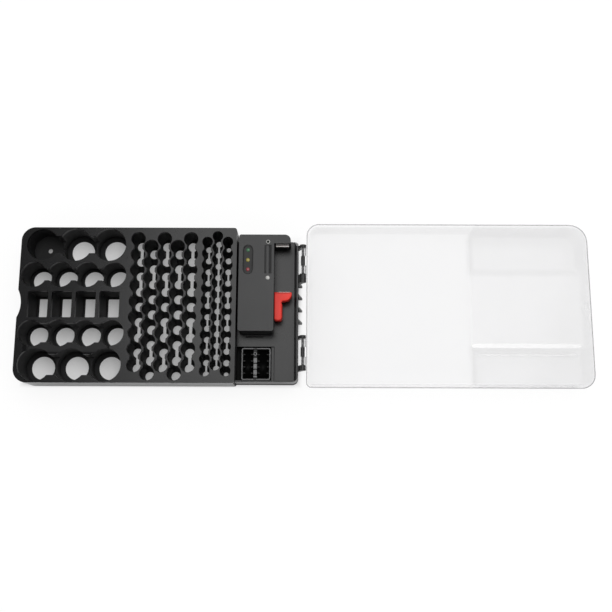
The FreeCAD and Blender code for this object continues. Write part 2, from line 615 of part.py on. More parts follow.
def lid_solid(t, z_extra):
    """The lid's inner hollow (t = 0) or its outer block (t = wall)."""
    rim = grow(lid_in, t)
    low = grow(lid_in, t - LID_DRAFT)
    radii_rim = grow_radii(lid_radii, t)
    radii_low = grow_radii(lid_radii, t - LID_DRAFT)
    body = frustum(rim, low, RIM_Z - (0 if t else 1), LID_LOW_CEILING + z_extra, radii_rim, radii_low)
    step_low = (low[0], LID_STEP_X + LID_STEP_RUN + t, low[2], low[3])
    step_high = (low[0] + 0.1, LID_STEP_X + t, low[2] + 0.1, low[3] - 0.1)
    step_r = (radii_low[0], 0.6, 0.6, radii_low[3])
    step = frustum(step_low, step_high, LID_LOW_CEILING + z_extra - 0.5, LID_HIGH_CEILING + z_extra,
                   step_r, step_r)
    parts = [body, step]
    base_z = LID_HIGH_CEILING + z_extra - 0.5
    top_z = LID_POCKET_CEILING + z_extra
    x0 = low[0] + 0.2
    x0_top = x0 + 0.5
    for front in (True, False):
        if front:
            foot = (x0, POCKET_X_END + POCKET_RUN_X + t, low[2] + 0.2, POCKET_IN_Y + POCKET_RUN_Y + t)
            head = (x0_top, POCKET_X_END + t, low[2] + 0.7, POCKET_IN_Y + t)
            radii = (radii_low[0], 2.0, 2.0, 2.0)
        else:
            y_in = DECK_WIDTH - POCKET_IN_Y
            foot = (x0, POCKET_X_END + POCKET_RUN_X + t, y_in - POCKET_RUN_Y - t, low[3] - 0.2)
            head = (x0_top, POCKET_X_END + t, y_in - t, low[3] - 0.7)
            radii = (2.0, 2.0, 2.0, radii_low[3])
        parts.append(frustum(foot, head, base_z, top_z, radii, radii))
    return fuse(parts)


lid_outer = lid_solid(LID_WALL, LID_WALL)
flange_rect = (-LID_GAP - LID_WALL - FLANGE_WIDE_LATCH, LID_FLANGE_HINGE_X,
               lid_in[2] - LID_WALL - FLANGE_WIDE, lid_in[3] + LID_WALL + FLANGE_WIDE)
flange_radii = grow_radii(lid_radii, LID_WALL + FLANGE_WIDE)
flange = rounded_box(*flange_rect, RIM_Z, RIM_Z + FLANGE_THICK, flange_radii)
lid_inner = lid_solid(0.0, 0.0)
lid_shell = fuse([lid_outer, flange]).cut(lid_inner)
lid_latch = prism_y([
    (-LID_GAP - LID_DRAFT, latch_z[0]), (latch_x - 0.6, latch_z[0]), (latch_x, latch_z[0] + 0.7),
    (latch_x - 0.6, latch_z[1]), (-LID_GAP - LID_DRAFT, latch_z[1])], *latch_y).common(lid_inner)


def open_lid(shape):
    out = shape.copy()
    out.rotate(V(HINGE_X, 0, HINGE_Z), V(0, 1, 0), 180)
    return out


lid_shell = open_lid(lid_shell)
lid_latch = open_lid(lid_latch)
lid_flange_open_x = 2 * HINGE_X - LID_FLANGE_HINGE_X
lid_clips_rear = clips(REAR_LUGS, REAR_KNUCKLE, lid_flange_open_x)
lid_clips_front = clips(FRONT_LUGS, FRONT_KNUCKLE, lid_flange_open_x)

# ---- tester

tx0 = TESTER_X
tx1 = TESTER_X + TESTER_WIDE
arm_front_y = TESTER_REAR_Y - ARM_DEEP
tc = TESTER_CORNER_R
shell_z0 = LOW_Z + TESTER_BASE
body_out = rounded_box(tx0, tx1, TESTER_FRONT_Y, TESTER_REAR_Y, shell_z0, TESTER_TOP, (tc, tc, 0, tc))
arm_out = rounded_box(tx1 - 8, ARM_END_X, arm_front_y, TESTER_REAR_Y, shell_z0, TESTER_TOP,
                      (0, 0.8, ARM_CORNER_R, 0))
w = TESTER_WALL
roof_z = TESTER_TOP - w
body_in = box(tx0 + w, tx1 - w, TESTER_FRONT_Y + w, TESTER_REAR_Y - w, shell_z0 - 1, roof_z)
arm_in = box(tx1 - 8, ARM_END_X - 3 * w, arm_front_y + w, TESTER_REAR_Y - w, shell_z0 - 1, roof_z)
window = fuse([
    rod(WINDOW_X, WINDOW_Y[0], TESTER_TOP - WINDOW_DEEP, TESTER_TOP + 1, WINDOW_R),
    rod(WINDOW_X, WINDOW_Y[1], TESTER_TOP - WINDOW_DEEP, TESTER_TOP + 1, WINDOW_R),
    box(WINDOW_X - WINDOW_R, WINDOW_X + WINDOW_R, *WINDOW_Y, TESTER_TOP - WINDOW_DEEP, TESTER_TOP + 1)])
groove_r = ((GROOVE_WIDE / 2) ** 2 + GROOVE_DEEP ** 2) / (2 * GROOVE_DEEP)
groove = rod_y(GROOVE_X + GROOVE_WIDE / 2, TESTER_TOP - GROOVE_DEEP + groove_r, *GROOVE_Y, groove_r)
led_holes = [rod(WINDOW_X, y, 0, TESTER_TOP + 1, LED_R + LED_HOLE_GAP) for y in LED_Y]
rivet_holes = [rod(x, y, 0, TESTER_TOP + 1, RIVET_SHANK_R) for x, y in (RING_POS, DOT_POS)]
slot_y0 = TONGUE_Y[0] - SLIDER_TRAVEL_OUT - 1.0
slot_y1 = TONGUE_Y[1] + SLIDER_TRAVEL_IN + 1.0
slot = box(tx1 - w - 1, tx1 + 1, slot_y0, slot_y1, TONGUE_Z[0] - SLIDE_GAP, TONGUE_Z[1] + SLIDE_GAP)
plate_pocket = box(*PLATE_X, arm_front_y - 1, arm_front_y + PLATE_THICK / 2, *PLATE_Z)
board_posts = [
    rod(x, y, BOARD_TOP, roof_z, 1.5)
    for x in (BOARD_X[0] + 3, BOARD_X[1] - 3) for y in (BOARD_Y[0] + 3, )]
bosses = [rod(x, y, shell_z0, roof_z, BOSS_R) for x, y in SCREW_POS]
boss_holes = [rod(x, y, shell_z0 - 1, shell_z0 + SCREW_LEN, SCREW_R) for x, y in SCREW_POS]
board_cut = box(SCREW_POS[2][0] - 4, SCREW_POS[2][0] + 4, SCREW_POS[2][1] - 4, SCREW_POS[2][1] + 4,
                BOARD_TOP - BOARD_THICK - 1, BOARD_TOP + 1)
shell = fuse([body_out, arm_out]).cut([body_in, arm_in])
shell = fuse([shell] + board_posts + bosses)
tester_upper_shell = shell.cut([window, groove, slot, plate_pocket] + led_holes + rivet_holes + boss_holes)
base_body = rounded_box(tx0, tx1, TESTER_FRONT_Y, TESTER_REAR_Y, LOW_Z, shell_z0, (tc, tc, 0, tc))
base_arm = rounded_box(tx1 - 8, ARM_END_X, arm_front_y, TESTER_REAR_Y, LOW_Z, shell_z0,
                       (0, 0.8, ARM_CORNER_R, 0))
base_holes = [rod(x, y, LOW_Z - 1, shell_z0 + 1, SCREW_R) for x, y in SCREW_POS]
base_holes += [rod(x, y, LOW_Z - 1, LOW_Z + SCREW_HEAD_TALL, SCREW_HEAD_R) for x, y in SCREW_POS]
tester_lower_shell = fuse([base_body, base_arm]).cut(base_holes)
tester_board = box(*BOARD_X, *BOARD_Y, BOARD_TOP - BOARD_THICK, BOARD_TOP).cut(board_cut)
tester_resistors = [
    box(RESISTOR_X, RESISTOR_X + RESISTOR_LONG, y - RESISTOR_WIDE / 2, y + RESISTOR_WIDE / 2,
        BOARD_TOP - BOARD_THICK - RESISTOR_THICK, BOARD_TOP - BOARD_THICK)
    for y in LED_Y]
tester_rail = box(tx1 - w - RAIL_THICK, tx1 - w, slot_y0, slot_y1, *RAIL_Z)
leds = []
for y in LED_Y:
    body = rod(WINDOW_X, y, BOARD_TOP, LED_TOP - LED_R / 2, LED_R)
    dome = Part.makeSphere(LED_R, V(WINDOW_X, y, LED_TOP - LED_R))
    dome = dome.common(box(WINDOW_X - 3, WINDOW_X + 3, y - 3, y + 3, LED_TOP - LED_R / 2, LED_TOP + 1))
    leds.append(fuse([body, dome]))


def rivet(pos, hollow):
    x, y = pos
    head = rod(x, y, TESTER_TOP, TESTER_TOP + RIVET_PROUD, RIVET_R)
    shank = rod(x, y, roof_z, TESTER_TOP, RIVET_SHANK_R)
    out = fuse([head, shank])
    if hollow:
        out = out.cut(rod(x, y, roof_z - 1, TESTER_TOP + 2, RIVET_HOLE_R))
    return out


tester_ring_contact = rivet(RING_POS, True)
tester_dot_contact = rivet(DOT_POS, False)
tester_fixed_contact = box(*PLATE_X, arm_front_y - PLATE_THICK / 2, arm_front_y + PLATE_THICK / 2, *PLATE_Z)
tester_screws = [
    fuse([rod(x, y, LOW_Z + 0.1, LOW_Z + SCREW_HEAD_TALL, SCREW_HEAD_R),
          rod(x, y, LOW_Z + SCREW_HEAD_TALL, shell_z0 + SCREW_LEN, SCREW_R)])
    for x, y in SCREW_POS]

# ---- slider

slider_z0 = LOW_Z + SLIDER_LIFT
stem = rounded_box(SLIDER_X, SLIDER_X + SLIDER_STEM, SLIDER_FRONT_Y, SLIDER_REAR_Y, slider_z0, SLIDER_TOP,
                   (2.4, 2.4, 0, 0))
arm_y = SLIDER_REAR_Y - SLIDER_ARM
arm_shape = rounded_box(SLIDER_X, SLIDER_ARM_X, arm_y, SLIDER_REAR_Y, slider_z0, SLIDER_TOP,
                        (0, SLIDER_ARM_ROUND, 0.5, 0))
corner_x = SLIDER_X + SLIDER_STEM
corner = box(corner_x - 0.5, corner_x + SLIDER_FILLET, arm_y - SLIDER_FILLET, arm_y + 0.5,
             slider_z0, SLIDER_TOP)
corner = corner.cut(rod(corner_x + SLIDER_FILLET, arm_y - SLIDER_FILLET, slider_z0 - 1, SLIDER_TOP + 1,
                        SLIDER_FILLET))
ribs = [
    rod(SLIDER_X + SLIDER_STEM, SLIDER_FRONT_Y + 3.5 + i * RIB_PITCH, slider_z0 + 2, SLIDER_TOP - 0.6, RIB_R)
    for i in range(RIB_COUNT)]
tongue = box(tx1 - TONGUE_REACH, SLIDER_X, *TONGUE_Y, *TONGUE_Z)
foot = box(tx1 - w - SLIDE_GAP - FOOT_THICK, tx1 - w - SLIDE_GAP, *TONGUE_Y,
           TONGUE_Z[0] - FOOT_OVER, TONGUE_Z[1] + FOOT_OVER)
strip_pocket = box(*STRIP_X, SLIDER_REAR_Y - STRIP_THICK / 2, SLIDER_REAR_Y + 1, *STRIP_Z)
slider_grip = fuse([stem, arm_shape, corner, tongue, foot] + ribs).cut(strip_pocket)
slider_contact = box(*STRIP_X, SLIDER_REAR_Y - STRIP_THICK / 2, SLIDER_REAR_Y + STRIP_THICK / 2, *STRIP_Z)

# ---- button-cell rack

rx0, rx1 = RACK_X
ry0, ry1 = RACK_Y
rr = RACK_CORNER_R
rack_body = rounded_box(rx0, rx1, ry0, ry1, WELL_BOTTOM, RACK_RIM_Z, (rr, rr, rr, rr))
spine_x = (rx0 + rx1) / 2
cavities = []
teeth = []
for x0, x1 in ((rx0 + RACK_RIM, spine_x - RACK_SPINE / 2), (spine_x + RACK_SPINE / 2, rx1 - RACK_RIM)):
    trough_r = (x1 - x0) / 2
    axis_z = WELL_BOTTOM + RACK_FLOOR + trough_r
    cavities.append(rod_y(x0 + trough_r, axis_z, ry0 + RACK_RIM, ry1 - RACK_RIM, trough_r))
    cavities.append(box(x0, x1, ry0 + RACK_RIM, ry1 - RACK_RIM, axis_z, RACK_RIM_Z + 1))
    for i in range(4):
        y = (ry0 + ry1) / 2 + (i - 1.5) * RACK_PITCH
        for a, b in ((x0, x0 + RACK_TOOTH_OUT), (x1 - RACK_TOOTH_OUT, x1)):
            teeth.append(box(a, b, y - RACK_TOOTH / 2, y + RACK_TOOTH / 2,
                             WELL_BOTTOM + RACK_FLOOR, RACK_RIM_Z - 1.0))
loop = rod(spine_x, RACK_LOOP_Y, RACK_RIM_Z, RACK_RIM_Z + 1.0, RACK_LOOP_R)
loop_hole = rod(spine_x, RACK_LOOP_Y, RACK_RIM_Z - 3.0, RACK_RIM_Z + 2.0, RACK_LOOP_HOLE_R)
button_rack = fuse([rack_body.cut(cavities)] + teeth + [loop]).cut(loop_hole)

# ---- write the pieces

nodes = {
    "tray_d_wells": tray_d_wells,
    "tray_c_wells": tray_c_wells,
    "tray_nine_volt_wells": tray_nine_volt_wells,
    "tray_round_dish": tray_round_dish,
    "tray_aa_wells": tray_aa_wells,
    "tray_aa_floor": tray_aa_floor,
    "tray_aaa_wells": tray_aaa_wells,
    "tray_aaa_floor": tray_aaa_floor,
    "tray_lower_deck": tray_lower_deck,
    "tray_hinge_lugs_rear": tray_hinge_lugs_rear,
    "tray_hinge_lugs_front": tray_hinge_lugs_front,
    "tray_hinge_bar_rear": tray_hinge_bar_rear,
    "tray_hinge_bar_front": tray_hinge_bar_front,
    "tray_gussets": gussets,
    "lid_shell": lid_shell,
    "lid_latch": lid_latch,
    "lid_clips_rear": lid_clips_rear,
    "lid_clips_front": lid_clips_front,
    "tester_upper_shell": tester_upper_shell,
    "tester_lower_shell": tester_lower_shell,
    "tester_board": tester_board,
    "tester_resistors": tester_resistors,
    "tester_rail": tester_rail,
    "led_red": leds[0],
    "led_yellow": leds[1],
    "led_green": leds[2],
    "tester_ring_contact": tester_ring_contact,
    "tester_dot_contact": tester_dot_contact,
    "tester_fixed_contact": tester_fixed_contact,
    "tester_screws": tester_screws,
    "slider_grip": slider_grip,
    "slider_contact": slider_contact,
    "button_rack": button_rack,
}

lid_box = lid_shell.BoundBox
low_x = min(0.0, lid_box.XMin)
high_x = lid_box.XMax
shift = V(-(low_x + high_x) / 2, -(lid_box.YMin + lid_box.YMax) / 2, TRAY_HEIGHT)

os.makedirs("parts", exist_ok=True)
for name, shape in nodes.items():
    solids = []
    for piece in (shape if isinstance(shape, list) else [shape]):
        solids += piece.Solids
    out = solids[0] if len(solids) == 1 else Part.makeCompound(solids)
    out = out.copy()
    out.translate(shift)
    out.exportStep("parts/" + name + ".step")
    b = out.BoundBox
    print("%-24s solids %d valid %s  x %.2f..%.2f  y %.2f..%.2f  z %.2f..%.2f  vol %.0f" % (
        name, len(solids), out.isValid(), b.XMin, b.XMax, b.YMin, b.YMax, b.ZMin, b.ZMax, out.Volume))
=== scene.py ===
"""Looks of a flat battery storage case: black tray, clear lid, tester and button-cell rack."""

import logging
from dataclasses import dataclass
from enum import Enum

import bpy
import numpy as np
from bpy.types import ID, Material, Node, NodeOutputs, NodeSocket, Object, World
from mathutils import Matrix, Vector


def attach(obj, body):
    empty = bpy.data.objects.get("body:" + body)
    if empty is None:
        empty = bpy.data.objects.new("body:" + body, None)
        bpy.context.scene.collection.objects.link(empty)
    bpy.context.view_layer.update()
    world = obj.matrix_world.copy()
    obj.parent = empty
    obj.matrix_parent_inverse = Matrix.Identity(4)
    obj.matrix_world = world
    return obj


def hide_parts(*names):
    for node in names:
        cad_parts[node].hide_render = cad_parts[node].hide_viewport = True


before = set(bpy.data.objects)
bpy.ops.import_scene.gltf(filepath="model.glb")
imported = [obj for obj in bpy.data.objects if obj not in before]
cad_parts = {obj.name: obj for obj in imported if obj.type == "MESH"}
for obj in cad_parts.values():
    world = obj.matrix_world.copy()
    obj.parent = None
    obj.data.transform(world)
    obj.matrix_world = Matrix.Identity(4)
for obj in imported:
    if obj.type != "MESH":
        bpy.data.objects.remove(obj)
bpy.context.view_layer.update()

MM = 0.001
LOG = logging.getLogger("battery_case")

# The shared frame starts at the middle of the open case and is in metres. Shapes below are in the
# tray's own millimetres, from the front left corner of its deck at the deck's top.
DECK_ZERO = np.array([-293.65, -81.0, 34.5])

SMALLEST_CORNER = 0.5
SEAM_GAP = 4e-6
WELD_GRID = 5e-6
WELD_GAP = 2e-6

Pair = tuple[float, float]
Triple = tuple[float, float, float]
Box = tuple[float, float, float, float]
Floats = tuple[float, ...]
Input = float | Floats | NodeSocket
Inputs = dict[str | int, Input]
Array = np.ndarray
Arrays = tuple[Array, Array]
Planes = list[tuple[int, float]]


# ---- finishes


class Web:
    """A node tree, with short ways to add nodes and join them."""

    def __init__(self, owner: Material | World) -> None:
        """Takes the tree of a material or of a world."""
        owner.use_nodes = True
        self.tree = owner.node_tree

    def feed(self, node: Node, inputs: Inputs) -> None:
        """Sets a node's inputs to plain values, or joins them to sockets.

        Args:
            node: The node.
            inputs: What goes into each input, by its name or number.
        """
        for key, value in inputs.items():
            if isinstance(value, NodeSocket):
                self.tree.links.new(value, node.inputs[key])
            else:
                node.inputs[key].default_value = value

    def add(self, kind: str, inputs: Inputs | None = None, **options: str) -> Node:
        """Adds a node.

        Args:
            kind: Its kind, without the words that every kind starts with.
            inputs: What goes into its inputs.
            options: The node's own settings, which are set first.

        Returns:
            The new node.
        """
        node = self.tree.nodes.new("ShaderNode" + kind)
        for key, value in options.items():
            setattr(node, key, value)
        self.feed(node, inputs or {})
        return node

    def coords(self, kind: str = "Object") -> NodeSocket:
        """The coordinates that patterns sit on."""
        return self.add("TexCoord").outputs[kind]

    def split(self, coords: NodeSocket) -> NodeOutputs:
        """The coordinates' parts, under X, Y and Z."""
        return self.add("SeparateXYZ", {"Vector": coords}).outputs

    def noise(self, coords: NodeSocket, scale: float, detail: float = 2.0) -> NodeSocket:
        """A soft noise between 0 and 1."""
        made = self.add("TexNoise", {"Scale": scale, "Detail": detail, "Vector": coords})
        return made.outputs["Fac"]

    def ramp(self, value: Input, low: float, high: float, start: float = 0.0, end: float = 1.0,
             **options: str) -> NodeSocket:
        """Maps a value from the span start to end onto the span low to high, held at both ends.

        Args:
            value: The value.
            low: What start becomes.
            high: What end becomes.
            start: Where the change starts.
            end: Where it ends.
            options: The node's own settings.

        Returns:
            The mapped value.
        """
        spans = {"From Min": start, "From Max": end, "To Min": low, "To Max": high}
        return self.add("MapRange", {**spans, "Value": value}, **options).outputs["Result"]

    def vary(self, share: Input, middle: float, spread: Pair) -> NodeSocket:
        """A value that runs between two multiples of its middle."""
        return self.ramp(share, middle * spread[0], middle * spread[1])

    def compute(self, operation: str, *values: Input) -> NodeSocket:
        """The result of one operation on values."""
        return self.add("Math", dict(enumerate(values)), operation=operation).outputs["Value"]

    def tint(self, share: Input, shade: Triple, spread: float) -> NodeSocket:
        """Varies a shade from 1 - spread to 1 + spread times itself.

        Args:
            share: How far towards the lighter end, from 0 to 1.
            shade: The shade.
            spread: How much it varies.

        Returns:
            The varied shade.
        """
        dark, light = ((*(min(1.0, k * c) for c in shade), 1.0) for k in (1 - spread, 1 + spread))
        mix = self.add("Mix", {"Factor": share, "A": dark, "B": light}, data_type="RGBA")
        return mix.outputs["Result"]


class Surface(Web):
    """A new material on one Principled shader."""

    def __init__(self, name: str) -> None:
        """Starts the material."""
        self.mat = bpy.data.materials.new(name)
        super().__init__(self.mat)

    def finish(self, inputs: Inputs) -> Material:
        """Fills the shader's inputs and gives the material."""
        self.feed(self.tree.nodes["Principled BSDF"], inputs)
        return self.mat


class Grain(Enum):
    """How strongly a plastic's moulded grain tilts the light."""

    SPARK = 0.185
    SATIN = 0.29


@dataclass(frozen=True)
class BlackPlastic:
    """Injection-moulded black plastic with faint flow marks and a fine grain in its gloss."""

    name: str
    shade: Triple
    rough: float
    grain: Grain = Grain.SPARK
    matt_below: float | None = None
    matt_rough: float = 0.62
    matt_fade: float = 1.5 * MM
    front: float = -81.0 * MM
    front_gloss: float = 0.08
    front_fade: Pair = (0.1 * MM, 0.5 * MM)
    flow_scale: float = 26.0
    flow_spread: Pair = (0.88, 1.14)
    shade_spread: float = 0.14
    grain_scale: float = 1500.0
    grain_depth: float = 0.04 * MM
    bending: float = 1.4

    def make(self) -> Material:
        """Builds the material.

        Returns:
            A material whose roughness drifts over the piece and whose surface has a fine grain.
            Below the height matt_below the gloss fades to matt_rough, as in a cored-out well. The
            outer wall at the place front is polished.
        """
        web = Surface(self.name)
        coords = web.coords()
        place = web.split(coords)
        flow = web.noise(coords, self.flow_scale, 3.0)
        rough = web.vary(flow, self.rough, self.flow_spread)
        if self.matt_below is not None:
            fade = web.ramp(place["Z"], 0.0, 1.0, self.matt_below, self.matt_below + self.matt_fade)
            blend = web.add("Mix", {"Factor": fade, "A": self.matt_rough, "B": rough})
            rough = blend.outputs["Result"]
        wall = web.ramp(place["Y"], self.front_gloss, 1.0,
                        *(self.front + step for step in self.front_fade))
        bump = web.add("Bump", {"Strength": self.grain.value, "Distance": self.grain_depth,
                                "Height": web.noise(coords, self.grain_scale, 1.0)})
        return web.finish({
            "IOR": self.bending, "Roughness": web.compute("MULTIPLY", wall, rough),
            "Base Color": web.tint(flow, self.shade, self.shade_spread),
            "Normal": bump.outputs["Normal"]})


@dataclass(frozen=True)
class ClearPlastic:
    """Clear moulded plastic: nearly open seen square on, greyer seen edge on."""

    name: str
    shade: Triple
    rough: float
    veil: float
    edge_veil: float
    edge_power: float = 3.0
    greyer_from: float | None = None
    greyer_fade: float = 2.0 * MM
    greyer_by: float = 0.045
    haze_scale: float = 18.0
    shade_spread: float = 0.06
    bending: float = 1.49

    def make(self) -> Material:
        """Builds the material.

        Returns:
            A clear plastic whose cover grows from veil to edge_veil as a power of how far it
            turns away from the eye, with a faint haze in it. Beyond a given place along x the
            veil grows by a set step, so that end looks greyer.
        """
        web = Surface(self.name)
        coords = web.coords()
        away = web.add("LayerWeight", {"Blend": 0.5}).outputs["Facing"]
        cover = web.ramp(web.compute("POWER", away, self.edge_power), self.veil, self.edge_veil)
        if self.greyer_from is not None:
            more = web.ramp(web.split(coords)["X"], 0.0, self.greyer_by, self.greyer_from,
                            self.greyer_from + self.greyer_fade)
            cover = web.compute("ADD", cover, more)
        haze = web.noise(coords, self.haze_scale)
        return web.finish({"IOR": self.bending, "Roughness": self.rough, "Alpha": cover,
                           "Base Color": web.tint(haze, self.shade, self.shade_spread)})


@dataclass(frozen=True)
class ColouredPlastic:
    """Opaque coloured plastic with a soft gloss and slight mottling."""

    name: str
    shade: Triple
    rough: float
    specular: float = 0.5
    mottle_scale: float = 140.0
    mottle_spread: Pair = (0.9, 1.1)
    shade_spread: float = 0.07

    def make(self) -> Material:
        """Builds the material.

        Returns:
            The mottled plastic.
        """
        web = Surface(self.name)
        mottle = web.noise(web.coords(), self.mottle_scale)
        return web.finish({
            "Specular IOR Level": self.specular,
            "Base Color": web.tint(mottle, self.shade, self.shade_spread),
            "Roughness": web.vary(mottle, self.rough, self.mottle_spread)})


@dataclass(frozen=True)
class Metal:
    """Plated or brushed sheet metal with fine streaks."""

    name: str
    shade: Triple
    rough: float
    stretch: Triple = (300.0, 4000.0, 4000.0)
    streak_scale: float = 5.0
    streak_spread: Pair = (0.8, 1.2)

    def make(self) -> Material:
        """Builds the material.

        Returns:
            The streaked metal.
        """
        web = Surface(self.name)
        mapped = web.add("Mapping", {"Scale": self.stretch, "Vector": web.coords()})
        streaks = web.noise(mapped.outputs["Vector"], self.streak_scale)
        return web.finish({"Metallic": 1.0, "Base Color": (*self.shade, 1.0),
                           "Roughness": web.vary(streaks, self.rough, self.streak_spread)})


# ---- making pieces


def linked(name: str, data: ID) -> Object:
    """Puts a new object into the scene.

    Args:
        name: Its name.
        data: Its mesh, light or camera.

    Returns:
        The object, at the origin.
    """
    obj = bpy.data.objects.new(name, data)
    bpy.context.scene.collection.objects.link(obj)
    return obj


def dress(obj: Object, mat: Material) -> None:
    """Gives a piece one material all over, and reports it.

    Args:
        obj: The piece.
        mat: Its finish.
    """
    obj.data.materials.clear()
    obj.data.materials.append(mat)
    LOG.info("dressed %s in %s", obj.name, mat.name)


def soften(obj: Object, width: float, angle: float = 35.0, clamp: bool = True,
           weld: bool = True) -> None:
    """Rounds a piece's sharp edges without touching its mesh.

    Args:
        obj: The piece.
        width: Edge rounding in metres.
        angle: Edges sharper than this, in degrees, are rounded.
        clamp: Whether the rounding stops where two would meet.
        weld: Whether points in one place are joined first.
    """
    if weld:
        obj.modifiers.new("weld", "WELD").merge_threshold = WELD_GAP
    bevel = obj.modifiers.new("round", "BEVEL")
    bevel.width = width
    bevel.segments = 2
    bevel.limit_method = "ANGLE"
    bevel.angle_limit = np.radians(angle)
    bevel.use_clamp_overlap = clamp
    bevel.miter_outer = "MITER_ARC"
    obj.modifiers.new("even", "WEIGHTED_NORMAL").keep_sharp = True


def gathered(names: tuple[str, ...]) -> Arrays:
    """Stacks the triangles of several CAD nodes.

    Args:
        names: The nodes' names.

    Returns:
        The points, and the triangles as rows of point numbers.
    """
    points, faces, start = [], [], 0
    for name in names:
        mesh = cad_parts[name].data
        co = np.empty(3 * len(mesh.vertices))
        mesh.vertices.foreach_get("co", co)
        corner = np.empty(len(mesh.loops), dtype=np.int64)
        mesh.loops.foreach_get("vertex_index", corner)
        points.append(co.reshape(-1, 3))
        faces.append(corner.reshape(-1, 3) + start)
        start += len(mesh.vertices)
    return np.vstack(points), np.vstack(faces)


def without_seams(points: Array, faces: Array, planes: Planes) -> Array:
    """Leaves out the triangles that lie in a seam between neighbouring solids.

    Args:
        points: The points in metres.
        faces: The triangles.
        planes: Each seam as its axis number and its place on that axis.

    Returns:
        The triangles that are left.
    """
    keep = np.ones(len(faces), dtype=bool)
    for axis, place in planes:
        level = (place + DECK_ZERO[axis]) * MM
        keep &= ~np.all(np.abs(points[faces][:, :, axis] - level) < SEAM_GAP, axis=1)
    return faces[keep]


def welded(points: Array, faces: Array) -> Arrays:
    """Joins points that share a place on a fine grid, and drops triangles that vanish.

    Args:
        points: The points.
        faces: The triangles.

    Returns:
        The joined points and the triangles.
    """
    keys = np.round(points / WELD_GRID).astype(np.int64)
    _, first, back = np.unique(keys, axis=0, return_index=True, return_inverse=True)
    faces = back.reshape(-1)[faces]
    full = np.all(faces != np.roll(faces, -1, axis=1), axis=1)
    return points[first], faces[full]


def mesh_object(name: str, points: Array, faces: list[list[int]], smooth_angle: float) -> Object:
    """Makes an object from points and faces, smooth but for its sharp edges.

    Args:
        name: The piece's name.
        points: Its points in metres, in the shared frame.
        faces: Its faces as lists of point numbers.
        smooth_angle: Edges sharper than this, in degrees, stay sharp.

    Returns:
        The new object, at the origin.
    """
    mesh = bpy.data.meshes.new(name)
    mesh.from_pydata(points, [], faces)
    mesh.validate()
    mesh.polygons.foreach_set("use_smooth", np.ones(len(mesh.polygons), dtype=bool))
    mesh.set_sharp_from_angle(angle=np.radians(smooth_angle))
    return linked(name, mesh)


def wrapped_quads(rows: int, cols: int, close_rows: bool) -> Array:
    """Numbers the quads of a grid whose columns wrap round.

    Quad (i, j) has the points (i, j), (i, j+1), (i+1, j+1) and (i+1, j). The column number j wraps
    at cols, and i wraps at rows where the rows close too.

    Args:
        rows: How many rings the grid has.
        cols: Points in each ring.
        close_rows: Whether the last ring joins the first.

    Returns:
        One row of four point numbers for each quad.
    """
    i = np.arange(rows if close_rows else rows - 1)[:, None]
    j = np.arange(cols)
    k, m = (i + 1) % rows, (j + 1) % cols
    quads = [i * cols + j, i * cols + m, k * cols + m, k * cols + j]
    return np.stack(quads, axis=-1).reshape(-1, 4)


def skinned(name: str, rings: Array, close_rows: bool = False, flip: bool = False,
            smooth_angle: float = 40.0) -> Object:
    """Makes a closed skin over rings of points.

    Where the rings don't close, a pole at the mean of the first ring and one at the mean of the
    last close it with fans.

    Args:
        name: The piece's name.
        rings: Points as rings x points x 3, in the tray's millimetres.
        close_rows: Whether the last ring joins the first.
        flip: Turns the faces the other way round.
        smooth_angle: Edges sharper than this, in degrees, stay sharp.

    Returns:
        The new object.
    """
    rings = (rings + DECK_ZERO) * MM
    rows, cols = rings.shape[:2]
    points = rings.reshape(-1, 3)
    turn = -1 if flip else 1
    faces = wrapped_quads(rows, cols, close_rows)[:, ::turn].tolist()
    if not close_rows:
        points = np.vstack([points, rings[0].mean(axis=0), rings[-1].mean(axis=0)])
        j = np.arange(cols)
        m, last, pole = (j + 1) % cols, (rows - 1) * cols, np.full(cols, rows * cols)
        fans = np.hstack([[m, j, pole], [j + last, m + last, pole + 1]]).T
        faces += fans[:, ::turn].tolist()
    return mesh_object(name, points, faces, smooth_angle)


def full_turn(count: int) -> Array:
    """Angles once round in equal steps, the last one left out."""
    return np.linspace(0.0, 2.0 * np.pi, count, endpoint=False)


def oval(across: float, up: float, count: int) -> Array:
    """The points (across cos a, up sin a) of a section."""
    a = full_turn(count)
    return np.stack([across * np.cos(a), up * np.sin(a)], axis=1)


def turned(name: str, foot: Triple, profile: Array, sides: int = 32, ring: bool = False,
           level: bool = False) -> Object:
    """Turns a profile about an upright axis, or about a level one along y.

    Point (k, a) is foot + (r_k cos a, r_k sin a, h_k) about an upright axis, and
    foot + (r_k cos a, h_k, -r_k sin a) about a level one, with a from 0 to a full turn.

    Args:
        name: The piece's name.
        foot: A point of the axis.
        profile: Rows of radius and place along the axis, from one end round to the other.
        sides: Points round the axis.
        ring: Whether the profile closes on itself, round a hole.
        level: Whether the axis is level.

    Returns:
        The new object.
    """
    a = full_turn(sides)
    c, s, none = np.cos(a), np.sin(a), np.zeros(sides)
    out, along = ([c, none, -s], [0.0, 1.0, 0.0]) if level else ([c, s, none], [0.0, 0.0, 1.0])
    rings = profile[:, None, :1] * np.stack(out, axis=1) + profile[:, None, 1:] * np.array(along)
    return skinned(name, rings + foot, close_rows=ring)


